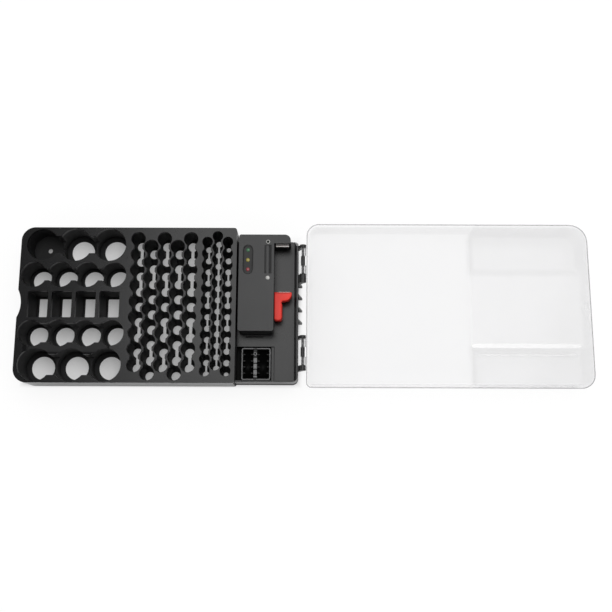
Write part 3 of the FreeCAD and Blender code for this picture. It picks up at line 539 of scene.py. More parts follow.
def rounded_outline(box: Box, radii: Box, steps: int = 7, run: int = 1,
                    inset: float = 0.0) -> Arrays:
    """Walks a rectangle with rounded corners, anticlockwise.

    Corner k with centre c and radius r gives c + r (cos a, sin a) over its quarter turn, and the
    straight runs between corners are cut into equal lengths.

    Args:
        box: Left, right, front and rear side.
        radii: Front left, front right, rear right and rear left corner.
        steps: Points on each corner.
        run: Pieces that each straight run is cut into.
        inset: How far inside the rectangle the line runs.

    Returns:
        The points and the outward directions, both as rows of x and y.
    """
    x0, x1, y0, y1 = np.array(box) + inset * np.array([1.0, -1.0, 1.0, -1.0])
    fl, fr, rr, rl = (max(SMALLEST_CORNER, r - inset) for r in radii)
    centres = np.array([[x1 - fr, y0 + fr], [x1 - rr, y1 - rr], [x0 + rl, y1 - rl],
                        [x0 + fl, y0 + fl]])
    size = np.array([fr, rr, rl, fl])[:, None, None]
    first = np.array([[1.5], [0.0], [0.5], [1.0]]) * np.pi
    a = np.linspace(0.0, np.pi / 2.0, steps) + first
    out = np.stack([np.cos(a), np.sin(a)], axis=-1)
    arcs = centres[:, None] + size * out
    start, end = arcs[:, -1:], np.roll(arcs, -1, axis=0)[:, :1]
    t = (np.arange(1, run) / run)[:, None]
    runs = start + (end - start) * t
    runs_out = np.repeat(out[:, -1:], run - 1, axis=1)
    line = np.concatenate([arcs, runs], axis=1).reshape(-1, 2)
    return line, np.concatenate([out, runs_out], axis=1).reshape(-1, 2)


def carried(name: str, path: Arrays, height: float, section: Array,
            swell: Array | float = 1.0) -> Object:
    """Carries a section along a closed level line.

    Point (i, k) is line_i + out_i s_i u_k at height + s_i w_k, with (u, w) the section's points
    and s the swell along the line.

    Args:
        name: The piece's name.
        path: The line's points and its outward directions, both as rows of x and y.
        height: The line's level.
        section: Rows of outward and upward place, anticlockwise with outward to the right.
        swell: How much the section grows at each point.

    Returns:
        The new object.
    """
    line, out = path
    grow = np.broadcast_to(swell, len(line))
    flat = line[:, None] + out[:, None] * (section[:, :1] * grow[:, None, None])
    rise = height + section[:, 1] * grow[:, None]
    return skinned(name, np.dstack([flat, rise]), close_rows=True, flip=True)


def pillow(name: str, centre: Triple, half: Triple, square: float = 0.3) -> Object:
    """Makes a block with softly rounded sides.

    Point (b, a) is centre + (hx c(b) c(a), hy c(b) s(a), hz s(b)), where c and s are cosine and
    sine raised to the power square with their sign kept.

    Args:
        name: The piece's name.
        centre: Its middle.
        half: Its half sizes.
        square: Near 0 for a square block, 1 for an egg.

    Returns:
        The new object.
    """

    def power(v: Array) -> Array:
        """The value raised to the power square, with its sign kept."""
        return np.sign(v) * np.abs(v) ** square

    a = full_turn(32)
    b = np.linspace(-0.48, 0.48, 13)[:, None] * np.pi
    unit = np.stack([power(np.cos(b)) * power(np.cos(a)), power(np.cos(b)) * power(np.sin(a)),
                     power(np.sin(b)) * np.ones_like(a)], axis=-1)
    return skinned(name, unit * half + centre)


def fitted(obj: Object, mat: Material, body: str, slot: str, *nodes: str) -> None:
    """Dresses a new piece and puts it on its body.

    Args:
        obj: The piece.
        mat: Its finish.
        body: The body it moves with.
        slot: The record's slot for its finish. Not used.
        nodes: The CAD nodes it stands for.
    """
    dress(obj, mat)
    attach(obj, body)
    if nodes:
        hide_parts(*nodes)


# ---- studio


@dataclass
class Studio:
    """White table, soft light and the camera above the case."""

    camera_place: Triple = (295.99, -91.72, 852.08)
    camera_tilt: float = 0.1980
    camera_turn: float = 0.00332
    lens: float = 50.0
    sensor: float = 36.0
    floor_half: float = 3.0
    floor_drop: float = 0.2 * MM
    floor_white: float = 0.96
    tray_middle: Pair = (-0.150, 0.0)
    tray_half: Pair = (0.146, 0.081)
    glow_fade: Pair = (-0.004, 0.002)
    # Painted shade: beneath the tray the table glows only this share.
    glow_under_painted_shade: float = 0.17
    glow_beside: float = 0.86
    room_light: float = 1.25
    overhead_light: float = 0.06
    overhead_fade: Pair = (0.66, 0.86)
    key_place: Triple = (0.1, 0.35, 1.5)
    key_size: Pair = (1.2, 1.0)
    key_power: float = 12.5

    def floor(self) -> None:
        """Lays the white table, which keeps the case's shadow, with painted shade under the tray.
        """
        h, z = self.floor_half, -self.floor_drop
        mesh = bpy.data.meshes.new("table_top")
        mesh.from_pydata([(-h, -h, z), (h, -h, z), (h, h, z), (-h, h, z)], [], [(0, 1, 2, 3)])
        obj = linked("table_top", mesh)
        mat = bpy.data.materials.new("table_white")
        web = Web(mat)
        web.tree.nodes.clear()
        path = web.add("LightPath").outputs
        seen = web.compute("MAXIMUM", path["Is Camera Ray"], path["Is Transmission Ray"])
        white = web.add("BsdfDiffuse", {"Color": (*(self.floor_white,) * 3, 1.0)})
        glow = web.add("Emission", {"Strength": 1.0})
        # The glow's share is painted shade under the tray, seen through the wells.
        mix = web.add("MixShader", {
            "Fac": web.compute("MULTIPLY", seen, self.painted_shade_under_tray(web)),
            1: white.outputs["BSDF"], 2: glow.outputs["Emission"]})
        web.add("OutputMaterial", {"Surface": mix.outputs["Shader"]})
        dress(obj, mat)

    def painted_shade_under_tray(self, web: Web) -> NodeSocket:
        """Gives the table's own glow: glow_beside around the tray, a smaller share painted as shade
        beneath it.

        The share changes along max(|x - cx| - hx, |y - cy| - hy), the way out of the tray's
        rectangle.

        Args:
            web: The table's nodes.

        Returns:
            The socket with the share.
        """
        place = web.split(web.coords())
        ways = []
        for axis, middle, half in zip("XY", self.tray_middle, self.tray_half):
            off = web.compute("ABSOLUTE", web.compute("SUBTRACT", place[axis], middle))
            ways.append(web.compute("SUBTRACT", off, half))
        return web.ramp(web.compute("MAXIMUM", *ways), self.glow_under_painted_shade, self.glow_beside,
                        *self.glow_fade)

    def world(self) -> None:
        """Lights the room from its bright walls, with a darker ceiling over the softbox."""
        world = bpy.data.worlds.new("room")
        web = Web(world)
        height = web.split(web.coords("Generated"))["Z"]
        ceiling = web.ramp(height, self.room_light, self.overhead_light, *self.overhead_fade,
                           interpolation_type="SMOOTHSTEP")
        seen = web.add("LightPath").outputs["Is Camera Ray"]
        level = web.add("Mix", {"Factor": seen, "A": ceiling, "B": 1.0}).outputs["Result"]
        web.feed(web.tree.nodes["Background"], {"Color": (1.0, 1.0, 1.0, 1.0), "Strength": level})
        bpy.context.scene.world = world

    def softbox(self) -> None:
        """Hangs the softbox, facing the middle of the case."""
        data = bpy.data.lights.new("softbox", "AREA")
        data.shape = "RECTANGLE"
        data.size, data.size_y = self.key_size
        data.energy = self.key_power
        obj = linked("softbox", data)
        obj.location = self.key_place
        obj.rotation_euler = (-Vector(self.key_place)).to_track_quat("-Z", "Y").to_euler()

    def camera(self) -> None:
        """Sets the camera above the front edge, looking down and a little away."""
        data = bpy.data.cameras.new("camera")
        data.sensor_width = self.sensor
        data.lens = self.lens
        obj = linked("camera", data)
        obj.location = Vector((DECK_ZERO + self.camera_place) * MM)
        obj.rotation_euler = (self.camera_tilt, 0.0, self.camera_turn)
        bpy.context.scene.camera = obj

    def build(self) -> None:
        """Makes the whole studio."""
        self.floor()
        self.world()
        self.softbox()
        self.camera()
        bpy.context.scene.view_settings.view_transform = "Standard"


# ---- the case


BLACK = (0.004, 0.004, 0.0043)
WELL_NODES = (
    "tray_d_wells", "tray_c_wells", "tray_nine_volt_wells", "tray_round_dish", "tray_aa_wells",
    "tray_aaa_wells")


@dataclass(frozen=True)
class Hinge:
    """One snap hinge: the tray's pin with its knuckle, and the lips of the lid's clips, dressed
    dark to paint the clips' edge lines.
    """

    place: str
    pin_y: Pair
    knuckle_y: Pair
    x: float = 292.2
    z: float = -2.0
    pin_radius: float = 1.25
    knuckle_radius: float = 2.15
    edge: float = 0.15
    shoulder: float = 0.01
    lip_x: float = 294.75
    lip_z: float = -0.35
    lip_radius: float = 0.33
    lip_gap: float = 0.4

    def pin(self) -> Object:
        """Turns the pin: two radii along y, with a small chamfer at the knuckle's shoulders.

        Returns:
            The pin with its knuckle.
        """
        y0, y1 = self.pin_y
        k0, k1 = self.knuckle_y
        r, k, e, s = self.pin_radius, self.knuckle_radius, self.edge, self.shoulder
        profile = np.array([[r, y0], [r, k0 - s], [k - e, k0], [k, k0 + e], [k, k1 - e],
                            [k - e, k1], [r, k1 + s], [r, y1]])
        name = "tray_hinge_pin_" + self.place
        return turned(name, (self.x, 0.0, self.z), profile, 24, level=True)

    def lips(self) -> list[Object]:
        """Turns the fine lips along the foot of each clip, r = R (1 - t^12)^(1/2), as painted dark
        edge lines.

        Returns:
            One lip on each side of the knuckle.
        """
        pieces = []
        t = np.linspace(-0.999, 0.999, 21)
        spans = ((self.pin_y[0], self.knuckle_y[0]), (self.knuckle_y[1], self.pin_y[1]))
        for number, (y0, y1) in enumerate(spans):
            mid, half = 0.5 * (y0 + y1), 0.5 * (y1 - y0) - self.lip_gap
            profile = np.stack([self.lip_radius * np.sqrt(1.0 - t**12), mid + half * t], axis=1)
            name = f"lid_clip_lip_{self.place}_{number}"
            pieces.append(turned(name, (self.lip_x, 0.0, self.lip_z), profile, 10, level=True))
        return pieces

    def build(self, black: Material, painted_edge_dark: Material) -> None:
        """Makes the hinge.

        Args:
            black: The tray's plastic.
            painted_edge_dark: A dark finish that paints the shade of a clear edge seen end on.
        """
        fitted(self.pin(), black, "tray", "tray_black", "tray_hinge_bar_" + self.place)
        for lip in self.lips():
            fitted(lip, painted_edge_dark, "lid", "lid_clear")


@dataclass
class Tray:
    """The black tray: one seamless deck over its CAD solids, and the nodes around it."""

    edge: float = 0.35 * MM
    deck_edge: float = 0.4 * MM
    black: BlackPlastic = BlackPlastic("tray_black", BLACK, 0.27)
    welled: BlackPlastic = BlackPlastic("tray_black_wells", BLACK, 0.27, matt_below=29.5 * MM)
    low: BlackPlastic = BlackPlastic(
        "tray_black_low", BLACK, 0.27, matt_below=9.0 * MM, matt_rough=0.8)
    # Painted shade: a rougher, darker black than the tray's, for the deep floors of the AA and AAA
    # wells.
    matt_shaded: BlackPlastic = BlackPlastic("tray_black_matt_shaded", (0.002, 0.002, 0.0021), 0.8, Grain.SATIN)
    # Painted shade: a near-black see-through finish for the clip lips, drawing the clips' dark edge
    # lines.
    painted_edge_dark: ClearPlastic = ClearPlastic("clip_painted_dark_edge", (0.02, 0.02, 0.02), 0.15, 0.8, 0.95, 1.0)
    hinges: tuple[Hinge, ...] = (
        Hinge("rear", (113.4, 141.1), (122.3, 132.0)),
        Hinge("front", (18.4, 46.0), (27.2, 36.9)))
    # Seams between the D, the C and the 9-volt wells, and beside the two blocks of channels.
    seams_x: Floats = (38.45, 73.75, 28.55, 55.85, 83.15, 32.9, 57.3, 81.7, 112.0, 185.5)
    seams_y: Floats = (36.75, 65.525, 96.375, 125.65)
    # The AA and the AAA channels: first seam, step and count.
    channels_x: tuple[tuple[float, float, int], ...] = ((121.3, 13.65, 5), (193.0, 10.55, 3))

    def seams(self) -> Planes:
        """The planes in which neighbouring solids of the deck meet.

        Returns:
            Each plane's axis number and its place on that axis.
        """
        channels = (first + k * step for first, step, count in self.channels_x
                    for k in range(count))
        return [(0, x) for x in (*self.seams_x, *channels)] + [(1, y) for y in self.seams_y]

    def deck(self) -> None:
        """Joins the nodes with wells into one deck with rounded edges."""
        points, faces = gathered(WELL_NODES)
        faces = without_seams(points, faces, self.seams())
        points, faces = welded(points, faces)
        obj = mesh_object("tray_deck", points, faces.tolist(), 30.0)
        soften(obj, self.deck_edge, 40.0, weld=False)
        fitted(obj, self.welled.make(), "tray", "tray_black", *WELL_NODES)

    def build(self) -> None:
        """Makes the deck and the hinges, and dresses the other nodes of the tray."""
        black, matt_shaded, low = self.black.make(), self.matt_shaded.make(), self.low.make()
        self.deck()
        # The AA and AAA well floors take the darker black as painted shade.
        special = {"tray_aa_floor": matt_shaded, "tray_aaa_floor": matt_shaded, "tray_lower_deck": low}
        for name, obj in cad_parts.items():
            if name.startswith("tray") and name not in WELL_NODES:
                finish = special.get(name, black)
                dress(obj, finish)
                if finish is not matt_shaded and "bar" not in name:
                    soften(obj, self.edge, clamp=False)
        painted_edge_dark = self.painted_edge_dark.make()
        for hinge in self.hinges:
            hinge.build(black, painted_edge_dark)


@dataclass
class Lid:
    """The clear lid on its CAD nodes, with a grey bead that paints its rim's dark edge line and
    pale pieces that paint highlights along its ramp edges.
    """

    edge: float = 0.5 * MM
    flange: Box = (295.8, 587.3, -4.5, 166.5)
    flange_radii: Box = (5.5, 14.5, 18.5, 12.9)
    line_radius: float = 0.42
    line_inset: float = 0.5
    line_drop: float = 1.4
    # Painted highlights: pale see-through strips that draw light lines along the lid's ramp edges.
    fold_highlights: tuple[tuple[str, Triple, Triple], ...] = (
        ("lid_fold_highlight_upper", (525.0, 42.2, -22.7), (57.0, 2.5, 0.12)),
        ("lid_fold_highlight_lower", (528.5, 34.2, -32.7), (52.5, 1.2, 0.12)))
    # Beyond x = 174.5 mm the lid's veil steps up, greying that end.
    clear: ClearPlastic = ClearPlastic(
        "lid_clear", (0.53, 0.525, 0.54), 0.12, 0.13, 0.32, greyer_from=174.5 * MM)
    # Painted shade: a darker grey than the lid, greying strongly edge on, for the dark lines the
    # clips show over the pins.
    clip: ClearPlastic = ClearPlastic("clip_clear_painted_dark", (0.3, 0.3, 0.31), 0.08, 0.12, 0.9, 2.0)
    faint: ClearPlastic = ClearPlastic("latch_clear", (0.6, 0.6, 0.61), 0.12, 0.05, 0.12)
    # Painted shade: a grey see-through finish for the bead that draws the rim's dark line.
    line: ClearPlastic = ClearPlastic("lid_edge_painted_grey", (0.2, 0.2, 0.205), 0.25, 0.46, 0.62, 1.0)
    fold_highlight: ClearPlastic = ClearPlastic("lid_fold_painted_highlight", (0.97, 0.97, 0.97), 0.4, 0.42, 0.42, 1.0)

    def rim_line(self) -> Object:
        """Carries a fine round bead along the lid's rim, dressed grey as a painted dark edge line.

        Returns:
            The bead.
        """
        path = rounded_outline(self.flange, self.flange_radii, 8, 48, self.line_inset)
        radius = self.line_radius
        return carried("lid_rim_painted_line", path, -self.line_drop * radius, oval(radius, radius, 6))

    def build(self) -> None:
        """Dresses the lid's nodes and adds its painted edge line and painted ramp highlights."""
        clear, clip, line = self.clear.make(), self.clip.make(), self.line.make()
        special = {"lid_clips_rear": clip, "lid_clips_front": clip, "lid_latch": self.faint.make()}
        for name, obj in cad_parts.items():
            if name.startswith("lid"):
                dress(obj, special.get(name, clear))
                soften(obj, self.edge, 25.0)
        fitted(self.rim_line(), line, "lid", "lid_clear")
        # The pale strips are painted highlights.
        light = self.fold_highlight.make()
        for name, centre, half in self.fold_highlights:
            fitted(pillow(name, centre, half), light, "lid", "lid_clear")


@dataclass
class Tester:
    """The battery tester, with turned rivets and lamps and a bent contact."""

    edge: float = 0.4 * MM
    top: float = 2.5
    ring_place: Pair = (256.0, 146.4)
    dot_place: Pair = (256.0, 108.2)
    rivet_radius: float = 2.25
    rivet_hole: float = 1.15
    rivet_tall: float = 0.5
    rivet_lip: float = 0.05
    ring_deep: float = 0.6
    dome_power: float = 0.7
    shank_radius: float = 1.3
    shank_deep: float = 1.6
    brim_inset: float = 0.1
    brim_drop: Pair = (0.02, 0.01)
    window: Box = (230.7, 240.1, 112.4, 142.9)
    window_deep: float = 0.82
    bead_radius: float = 0.42
    bead_rise: float = 0.02
    plate_inset: float = 0.35
    plate_thick: float = 0.4
    lamps: tuple[tuple[str, float, Triple], ...] = (
        ("red", 117.2, (0.16, 0.006, 0.012)), ("yellow", 127.2, (0.2, 0.165, 0.015)),
        ("green", 137.9, (0.012, 0.085, 0.03)))
    lamp_x: float = 235.4
    lamp_radius: float = 1.95
    lamp_edge: float = 0.3
    lamp_foot: float = -3.5
    lamp_shoulder: float = 1.65
    lamp_tip: float = 2.2
    lamp_rough: float = 0.14
    leaf_x: Pair = (263.9, 277.5)
    leaf_wall: float = 144.95
    leaf_gap: float = 0.25
    leaf_thick: float = 0.4
    leaf_bow: float = 1.6
    leaf_head: float = -1.9
    leaf_deep: float = 9.5
    leaf_steep: float = 9.0
    leaf_turn: float = 1.15
    leaf_round: float = 0.35
    black: BlackPlastic = BlackPlastic("tester_black", (0.006, 0.006, 0.0064), 0.32, Grain.SATIN)
    # Painted shade: a darker black for the plate and bead that darken the lamps' window.
    shade: BlackPlastic = BlackPlastic("window_painted_shade", (0.002, 0.002, 0.002), 0.45, Grain.SATIN)
    board: ColouredPlastic = ColouredPlastic("board_green", (0.03, 0.2, 0.07), 0.4)
    resistor: ColouredPlastic = ColouredPlastic("resistor_body", (0.02, 0.02, 0.02), 0.5)
    metal: Metal = Metal("contact_metal", (0.6, 0.585, 0.55), 0.32)
    rivet: Metal = Metal("rivet_metal", (0.27, 0.268, 0.26), 0.42)
    bright: Metal = Metal("leaf_metal", (0.6, 0.595, 0.58), 0.36)

    def ring(self) -> Object:
        """Turns the ring contact: half an oval over its foot, r = R + w cos a and z = h sin a.

        Returns:
            The ring.
        """
        a = np.linspace(np.pi, 0.0, 13)
        outer, inner = self.rivet_radius, self.rivet_hole
        rise = self.rivet_lip + (self.rivet_tall - self.rivet_lip) * np.sin(a)
        crown = np.stack([0.5 * (outer + inner) + 0.5 * (outer - inner) * np.cos(a),
                          self.top + rise], axis=1)
        foot = self.top - self.ring_deep
        profile = np.vstack([crown, [[outer, foot], [inner, foot]]])[::-1]
        return turned("tester_ring_rivet", (*self.ring_place, 0.0), profile, 40, ring=True)

    def dot(self) -> Object:
        """Turns the dot contact: a dome r = R cos(a)^p, z = h sin a over a narrower shank.

        Returns:
            The rivet.
        """
        a = np.linspace(0.0, 0.49 * np.pi, 9)
        top, shank = self.top, self.shank_radius
        crown = np.stack([self.rivet_radius * np.cos(a) ** self.dome_power,
                          top + (self.rivet_tall - self.rivet_lip) * np.sin(a)], axis=1)
        foot = [[shank, top - self.shank_deep], [shank, top - self.brim_drop[0]],
                [self.rivet_radius - self.brim_inset, top - self.brim_drop[1]]]
        return turned("tester_dot_rivet", (*self.dot_place, 0.0), np.vstack([foot, crown]), 40)

    def lamp(self, colour: str, y: float) -> Object:
        """Turns one lamp: a straight barrel under a dome z = z0 + h sin a, r = R cos a.

        Args:
            colour: Its colour's name.
            y: Where it stands along the window.

        Returns:
            The lamp.
        """
        a = np.linspace(0.0, 0.48 * np.pi, 10)
        rise = (self.lamp_tip - self.lamp_shoulder) * np.sin(a)
        r, e, z = self.lamp_radius, self.lamp_edge, self.lamp_foot
        dome = np.stack([r * np.cos(a), self.lamp_shoulder + rise], axis=1)
        foot = [[r - e, z], [r, z + e]]
        return turned("lamp_" + colour, (self.lamp_x, y, 0.0), np.vstack([foot, dome]))

    def window_pieces(self) -> list[Object]:
        """Makes a dark plate in the lamps' window and a dark bead around it, both painted shade in
        the window's recess.

        Returns:
            The bead and the plate.
        """
        radius = 0.5 * (self.window[1] - self.window[0])
        line, out = rounded_outline(self.window, (radius,) * 4, 12, 60)
        bead = carried("tester_window_shade_bead", (line, out), self.top + self.bead_rise,
                       oval(self.bead_radius, self.bead_radius, 8))
        head = self.top - self.window_deep
        inner = line - self.plate_inset * out
        rings = np.stack([np.column_stack([inner, np.full(len(line), z)])
                          for z in (head - self.plate_thick, head)])
        return [bead, skinned("tester_window_shade_plate", rings)]

    def leaf(self) -> Object:
        """Bends the fixed contact from strip.

        The strip's middle line goes down the wall, steps out and comes back at its foot. Its reach
        is bow (1/2 + arctan(steep (t - turn)) / pi) sin(t)^round at z = head - deep t / pi, with t
        from 0 to pi.

        Returns:
            The bent strip, as wide as the tester's slot.
        """
        t = np.linspace(0.0, np.pi, 25)
        step = 0.5 + np.arctan(self.leaf_steep * (t - self.leaf_turn)) / np.pi
        reach = self.leaf_bow * step * np.sin(t) ** self.leaf_round
        line = np.stack([self.leaf_wall - self.leaf_gap - reach,
                         self.leaf_head - self.leaf_deep * t / np.pi], axis=1)
        way = np.gradient(line, axis=0)
        side = np.stack([-way[:, 1], way[:, 0]], axis=1)
        side *= 0.5 * self.leaf_thick / np.linalg.norm(side, axis=1, keepdims=True)
        loop = np.vstack([line + side, (line - side)[::-1]])
        rings = np.stack([np.column_stack([np.full(len(loop), x), loop])
                          for x in np.linspace(*self.leaf_x, 12)])
        return skinned("tester_bent_contact", rings)

    def build(self) -> None:
        """Dresses the tester's nodes and makes its small parts."""
        black, metal, rivet = self.black.make(), self.metal.make(), self.rivet.make()
        finishes = {
            "tester_upper_shell": black, "tester_lower_shell": black,
            "tester_board": self.board.make(), "tester_resistors": self.resistor.make(),
            "tester_rail": metal, "tester_screws": metal, "slider_contact": metal}
        for name, mat in finishes.items():
            dress(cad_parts[name], mat)
        soften(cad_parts["tester_upper_shell"], self.edge, 50.0)
        for piece, mat, name in ((self.ring(), rivet, "ring"), (self.dot(), rivet, "dot"),
                                 (self.leaf(), self.bright.make(), "fixed")):
            fitted(piece, mat, "tester", "contact_metal", f"tester_{name}_contact")
        # The window's plate and bead are painted shade.
        shade = self.shade.make()
        for piece in self.window_pieces():
            fitted(piece, shade, "tester", "tester_black")
        for colour, y, tone in self.lamps:
            name = "led_" + colour
            mat = ColouredPlastic(name, tone, self.lamp_rough).make()
            fitted(self.lamp(colour, y), mat, "tester", name, name)


@dataclass
class Grip:
    """The slider's red grip: a tall block shaped like an r, ribbed beside its stem."""

    x: Triple = (262.6, 270.1, 280.6)
    y: Triple = (65.0, 85.6, 94.5)
    radii: Floats = (2.6, 2.6, 2.4, 7.2, 0.8, 0.8)
    foot: float = -21.0
    # Rows up the sides: height over the foot, inset, share of the lean, share of the ribs.
    sides: tuple[Box, ...] = (
        (0.0, 0.5, 1.0, 0.0), (0.5, 0.0, 1.0, 0.0), (2.0, 0.0, 0.9, 0.0), (2.4, 0.0, 0.9, 1.0),
        (16.1, 0.0, 0.04, 1.0))
    top: float = -3.2
    shoulder: float = 1.3
    lean: float = 1.5
    rib: float = 0.9
    rib_pitch: float = 2.1
    rib_rows: Pair = (67.45, 82.15)
    rib_facing: float = 0.9
    rib_fade: float = 0.45
    points: int = 420
    red: ColouredPlastic = ColouredPlastic("slider_red", (0.62, 0.036, 0.026), 0.42, 0.22)
    keepers: tuple[tuple[str, Triple, Triple], ...] = (
        ("slider_tongue", (261.0, 80.0, -12.2), (1.9, 6.0, 1.8)),
        ("slider_foot", (259.6, 80.0, -12.2), (0.8, 6.0, 3.4)))

    def outline(self) -> Arrays:
        """Runs once around the grip.

        With d before and e after a corner, the arc's point is centre + r (d sin a - e cos a) and
        the way on is d cos a + e sin a, for a from 0 to a right angle.

        Returns:
            The line's points, and its outward directions.
        """
        x0, x1, x2 = self.x
        y0, y1, y2 = self.y
        corners = np.array([[x0, y0], [x1, y0], [x1, y1], [x2, y1], [x2, y2], [x0, y2]])
        after = np.roll(corners, -1, axis=0) - corners
        after /= np.linalg.norm(after, axis=1, keepdims=True)
        d, e = np.roll(after, 1, axis=0)[:, None], after[:, None]
        r = np.array(self.radii)[:, None, None]
        a = np.linspace(0.0, 0.5 * np.pi, 12)[:, None]
        line = corners[:, None] + r * (e - d) + r * (d * np.sin(a) - e * np.cos(a))
        way = d * np.cos(a) + e * np.sin(a)
        line, way = (np.vstack([v.reshape(-1, 2), v[0, :1]]) for v in (line, way))
        run = np.append(0.0, np.cumsum(np.linalg.norm(np.diff(line, axis=0), axis=1)))
        even = np.linspace(0.0, run[-1], self.points, endpoint=False)
        line, way = (np.stack([np.interp(even, run, v[:, k]) for k in (0, 1)], axis=1)
                     for v in (line, way))
        way /= np.linalg.norm(way, axis=1, keepdims=True)
        return line, np.stack([way[:, 1], -way[:, 0]], axis=1)

    def block(self) -> Object:
        """Stacks the outline from foot to top.

        Ring k stands inset_k + lean_k max(0, -ny) - bump_k rib (1 - cos(2 pi (y - y0) / pitch)) / 2
        inside the outline; over the shoulder the inset is s (1 - cos a) at z = top - s + s sin a.

        Returns:
            The grip.
        """
        line, out = self.outline()
        s, a = self.shoulder, np.linspace(0.0, 0.5 * np.pi, 7)
        over = np.stack([self.top - s + s * np.sin(a), s * (1.0 - np.cos(a)), 0.0 * a,
                         1.0 - self.rib_fade * a / np.pi], axis=1)
        stack = np.vstack([np.array(self.sides) + np.array([self.foot, 0.0, 0.0, 0.0]), over])
        z, inset, lean, bump = stack.T[:, :, None]
        low, high = self.rib_rows
        along = line[:, 1] - low
        beside = (out[:, 0] > self.rib_facing) & (along > 0.0) & (along < high - low)
        phase = 2.0 * np.pi * (along / self.rib_pitch - 0.5)
        wave = np.where(beside, 0.5 + 0.5 * np.cos(phase), 0.0)
        inside = inset + self.lean * lean * np.maximum(0.0, -out[:, 1]) - self.rib * bump * wave
        rings = np.dstack([line - inside[..., None] * out, np.broadcast_to(z, inside.shape)])
        rows, cols = rings.shape[:2]
        faces = wrapped_quads(rows, cols, False).tolist()
        faces += [list(range(cols))[::-1], [(rows - 1) * cols + j for j in range(cols)]]
        points = ((rings + DECK_ZERO) * MM).reshape(-1, 3)
        return mesh_object("slider_red_grip", points, faces, 35.0)

    def build(self) -> None:
        """Makes the grip, with the tongue and foot that hold it in the tester's slot."""
        red = self.red.make()
        fitted(self.block(), red, "slider", "slider_red", "slider_grip")
        for name, centre, half in self.keepers:
            fitted(pillow(name, centre, half, 0.12), red, "slider", "slider_red")


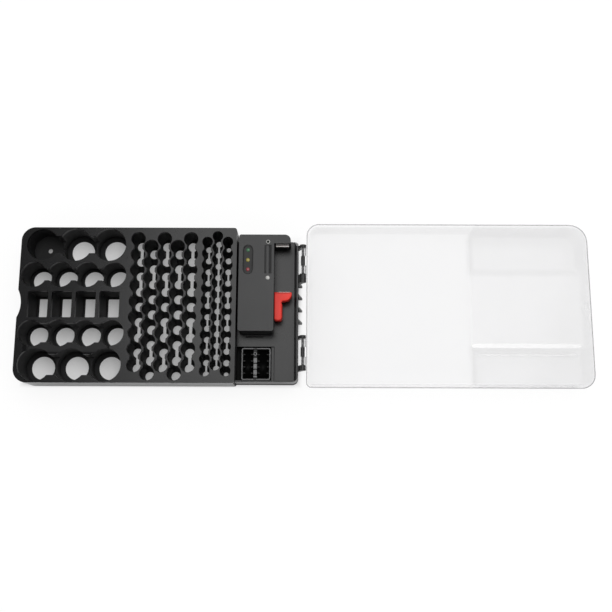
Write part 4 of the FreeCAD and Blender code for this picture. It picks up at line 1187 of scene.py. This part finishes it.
@dataclass
class Rack:
    """The button-cell rack: a black toothed bed inside a rim painted light grey as a highlight,
    with a runged spine.
    """

    box: Box = (228.7, 259.0, 5.5, 39.1)
    rim_z: float = -21.6
    foot_z: float = -33.0
    floor: float = 1.0
    wall: float = 1.5
    wall_drop: float = 0.5
    rim_half: Pair = (0.5, 0.32)
    rim_drop: float = 0.35
    rim_break: float = 0.12
    corner: float = 2.2
    bed_inset: float = 1.2
    bed_drop: float = 1.3
    bed_foot: float = 0.05
    spine_x: float = 243.0
    spine_half: float = 2.0
    tooth_y: Floats = (13.0, 19.5, 25.7, 32.4)
    tooth_half: float = 0.5
    tooth_long: float = 2.4
    tooth_drop: float = 2.2
    groove_pitch: float = 1.05
    groove_deep: float = 1.1
    rungs: tuple[Pair, ...] = ((9.2, 0.9), (13.5, 2.6), (19.8, 2.6), (25.9, 2.6))
    rung_half: Pair = (1.85, 0.85)
    rung_drop: float = 0.9
    ring_y: float = 32.6
    ring_radius: float = 1.45
    ring_wire: float = 0.5
    ring_rise: float = 0.4
    black: BlackPlastic = BlackPlastic("rack_black", (0.003, 0.003, 0.0032), 0.5, Grain.SATIN)
    # Painted highlight: a light grey for the rim, rungs and ring, where their edges catch the
    # light.
    painted_highlight: BlackPlastic = BlackPlastic("rack_rim_painted_highlight", (0.2, 0.2, 0.203), 0.45, Grain.SATIN)

    def wall_frame(self) -> Object:
        """Carries the wall's upright section round the rack.

        Returns:
            The wall.
        """
        top = self.rim_z - self.wall_drop - self.foot_z
        section = np.array([[-self.wall, 0.0], [0.0, 0.0], [0.0, top], [-self.wall, top]])
        path = rounded_outline(self.box, (self.corner,) * 4)
        return carried("rack_wall", path, self.foot_z, section)

    def rim(self) -> Object:
        """Carries the rim's oval section along the wall's top, thinned at the spine's ends.

        Returns:
            The rim.
        """
        line, out = rounded_outline(self.box, (self.corner,) * 4, 7, 16, 0.5 * self.wall)
        swell = np.where(np.abs(line[:, 0] - self.spine_x) < self.spine_half, self.rim_break, 1.0)
        return carried("rack_rim", (line, out), self.rim_z - self.rim_drop,
                       oval(*self.rim_half, 12), swell)

    def bed(self) -> Object:
        """Shapes the bed as a height over a grid.

        In each trough the height is floor + (w - sqrt(w^2 - (x - c)^2)) with w the trough's half
        width and c its middle, plus a tooth wave groove_deep |saw(y / pitch)|. Four teeth a side
        stand up from the walls, and the spine is level.

        Returns:
            The bed, closed underneath.
        """
        x0, x1, y0, y1 = self.box
        x = np.linspace(x0 + self.bed_inset, x1 - self.bed_inset, 84)[:, None]
        y = np.linspace(y0 + self.bed_inset, y1 - self.bed_inset, 240)
        left = x < self.spine_x
        wall = np.where(left, x0 + self.wall, x1 - self.wall)
        spine = np.where(left, self.spine_x - self.spine_half, self.spine_x + self.spine_half)
        half = 0.5 * np.abs(spine - wall)
        off = np.abs(x - 0.5 * (wall + spine))
        bowl = half - np.sqrt(np.maximum(0.0, half**2 - off**2))
        saw = np.abs(2.0 * ((y / self.groove_pitch) % 1.0) - 1.0)
        trough = self.foot_z + self.floor + bowl + self.groove_deep * saw
        gap = np.min(np.abs(y[:, None] - np.array(self.tooth_y)), axis=1)
        reach = half - off
        tooth = (gap < self.tooth_half) & (reach < self.tooth_long) & (reach > 0.0)
        z = np.where(tooth, np.maximum(trough, self.rim_z - self.tooth_drop), trough)
        head = self.rim_z - self.bed_drop
        z = np.where(off > half, head, np.minimum(z, head))
        top = np.dstack(np.broadcast_arrays(x, y, z))
        base = top.copy()
        base[..., 2] = self.foot_z + self.bed_foot
        rings = np.concatenate([top, base[:, ::-1]], axis=1)
        return skinned("rack_bed", rings, flip=True, smooth_angle=30.0)

    def loop(self) -> Object:
        """Turns the lifting ring: r = R + w cos a, z = z0 + w sin a.

        Returns:
            The ring.
        """
        middle = np.array([self.ring_radius, self.rim_z + self.ring_rise])
        profile = middle + oval(self.ring_wire, self.ring_wire, 12)
        return turned("rack_ring", (self.spine_x, self.ring_y, 0.0), profile, ring=True)

    def build(self) -> None:
        """Makes the rack's pieces."""
        black, painted_highlight = self.black.make(), self.painted_highlight.make()
        fitted(self.wall_frame(), black, "button_rack", "rack_black", "button_rack")
        fitted(self.bed(), black, "button_rack", "rack_black")
        wide, tall = self.rung_half
        # The rim, ring and rungs carry the painted highlight.
        pieces = [self.rim(), self.loop()]
        pieces += [pillow(f"rack_rung_{k}", (self.spine_x, y, self.rim_z - self.rung_drop),
                          (wide, half, tall)) for k, (y, half) in enumerate(self.rungs)]
        for piece in pieces:
            fitted(piece, painted_highlight, "button_rack", "rack_black")


def main() -> None:
    """Builds the studio and the case in order."""
    logging.basicConfig(level=logging.INFO, format="%(message)s")
    for part in (Studio(), Tray(), Lid(), Tester(), Grip(), Rack()):
        part.build()
        LOG.info("built %s", type(part).__name__)


if __name__ == "__main__":
    main()
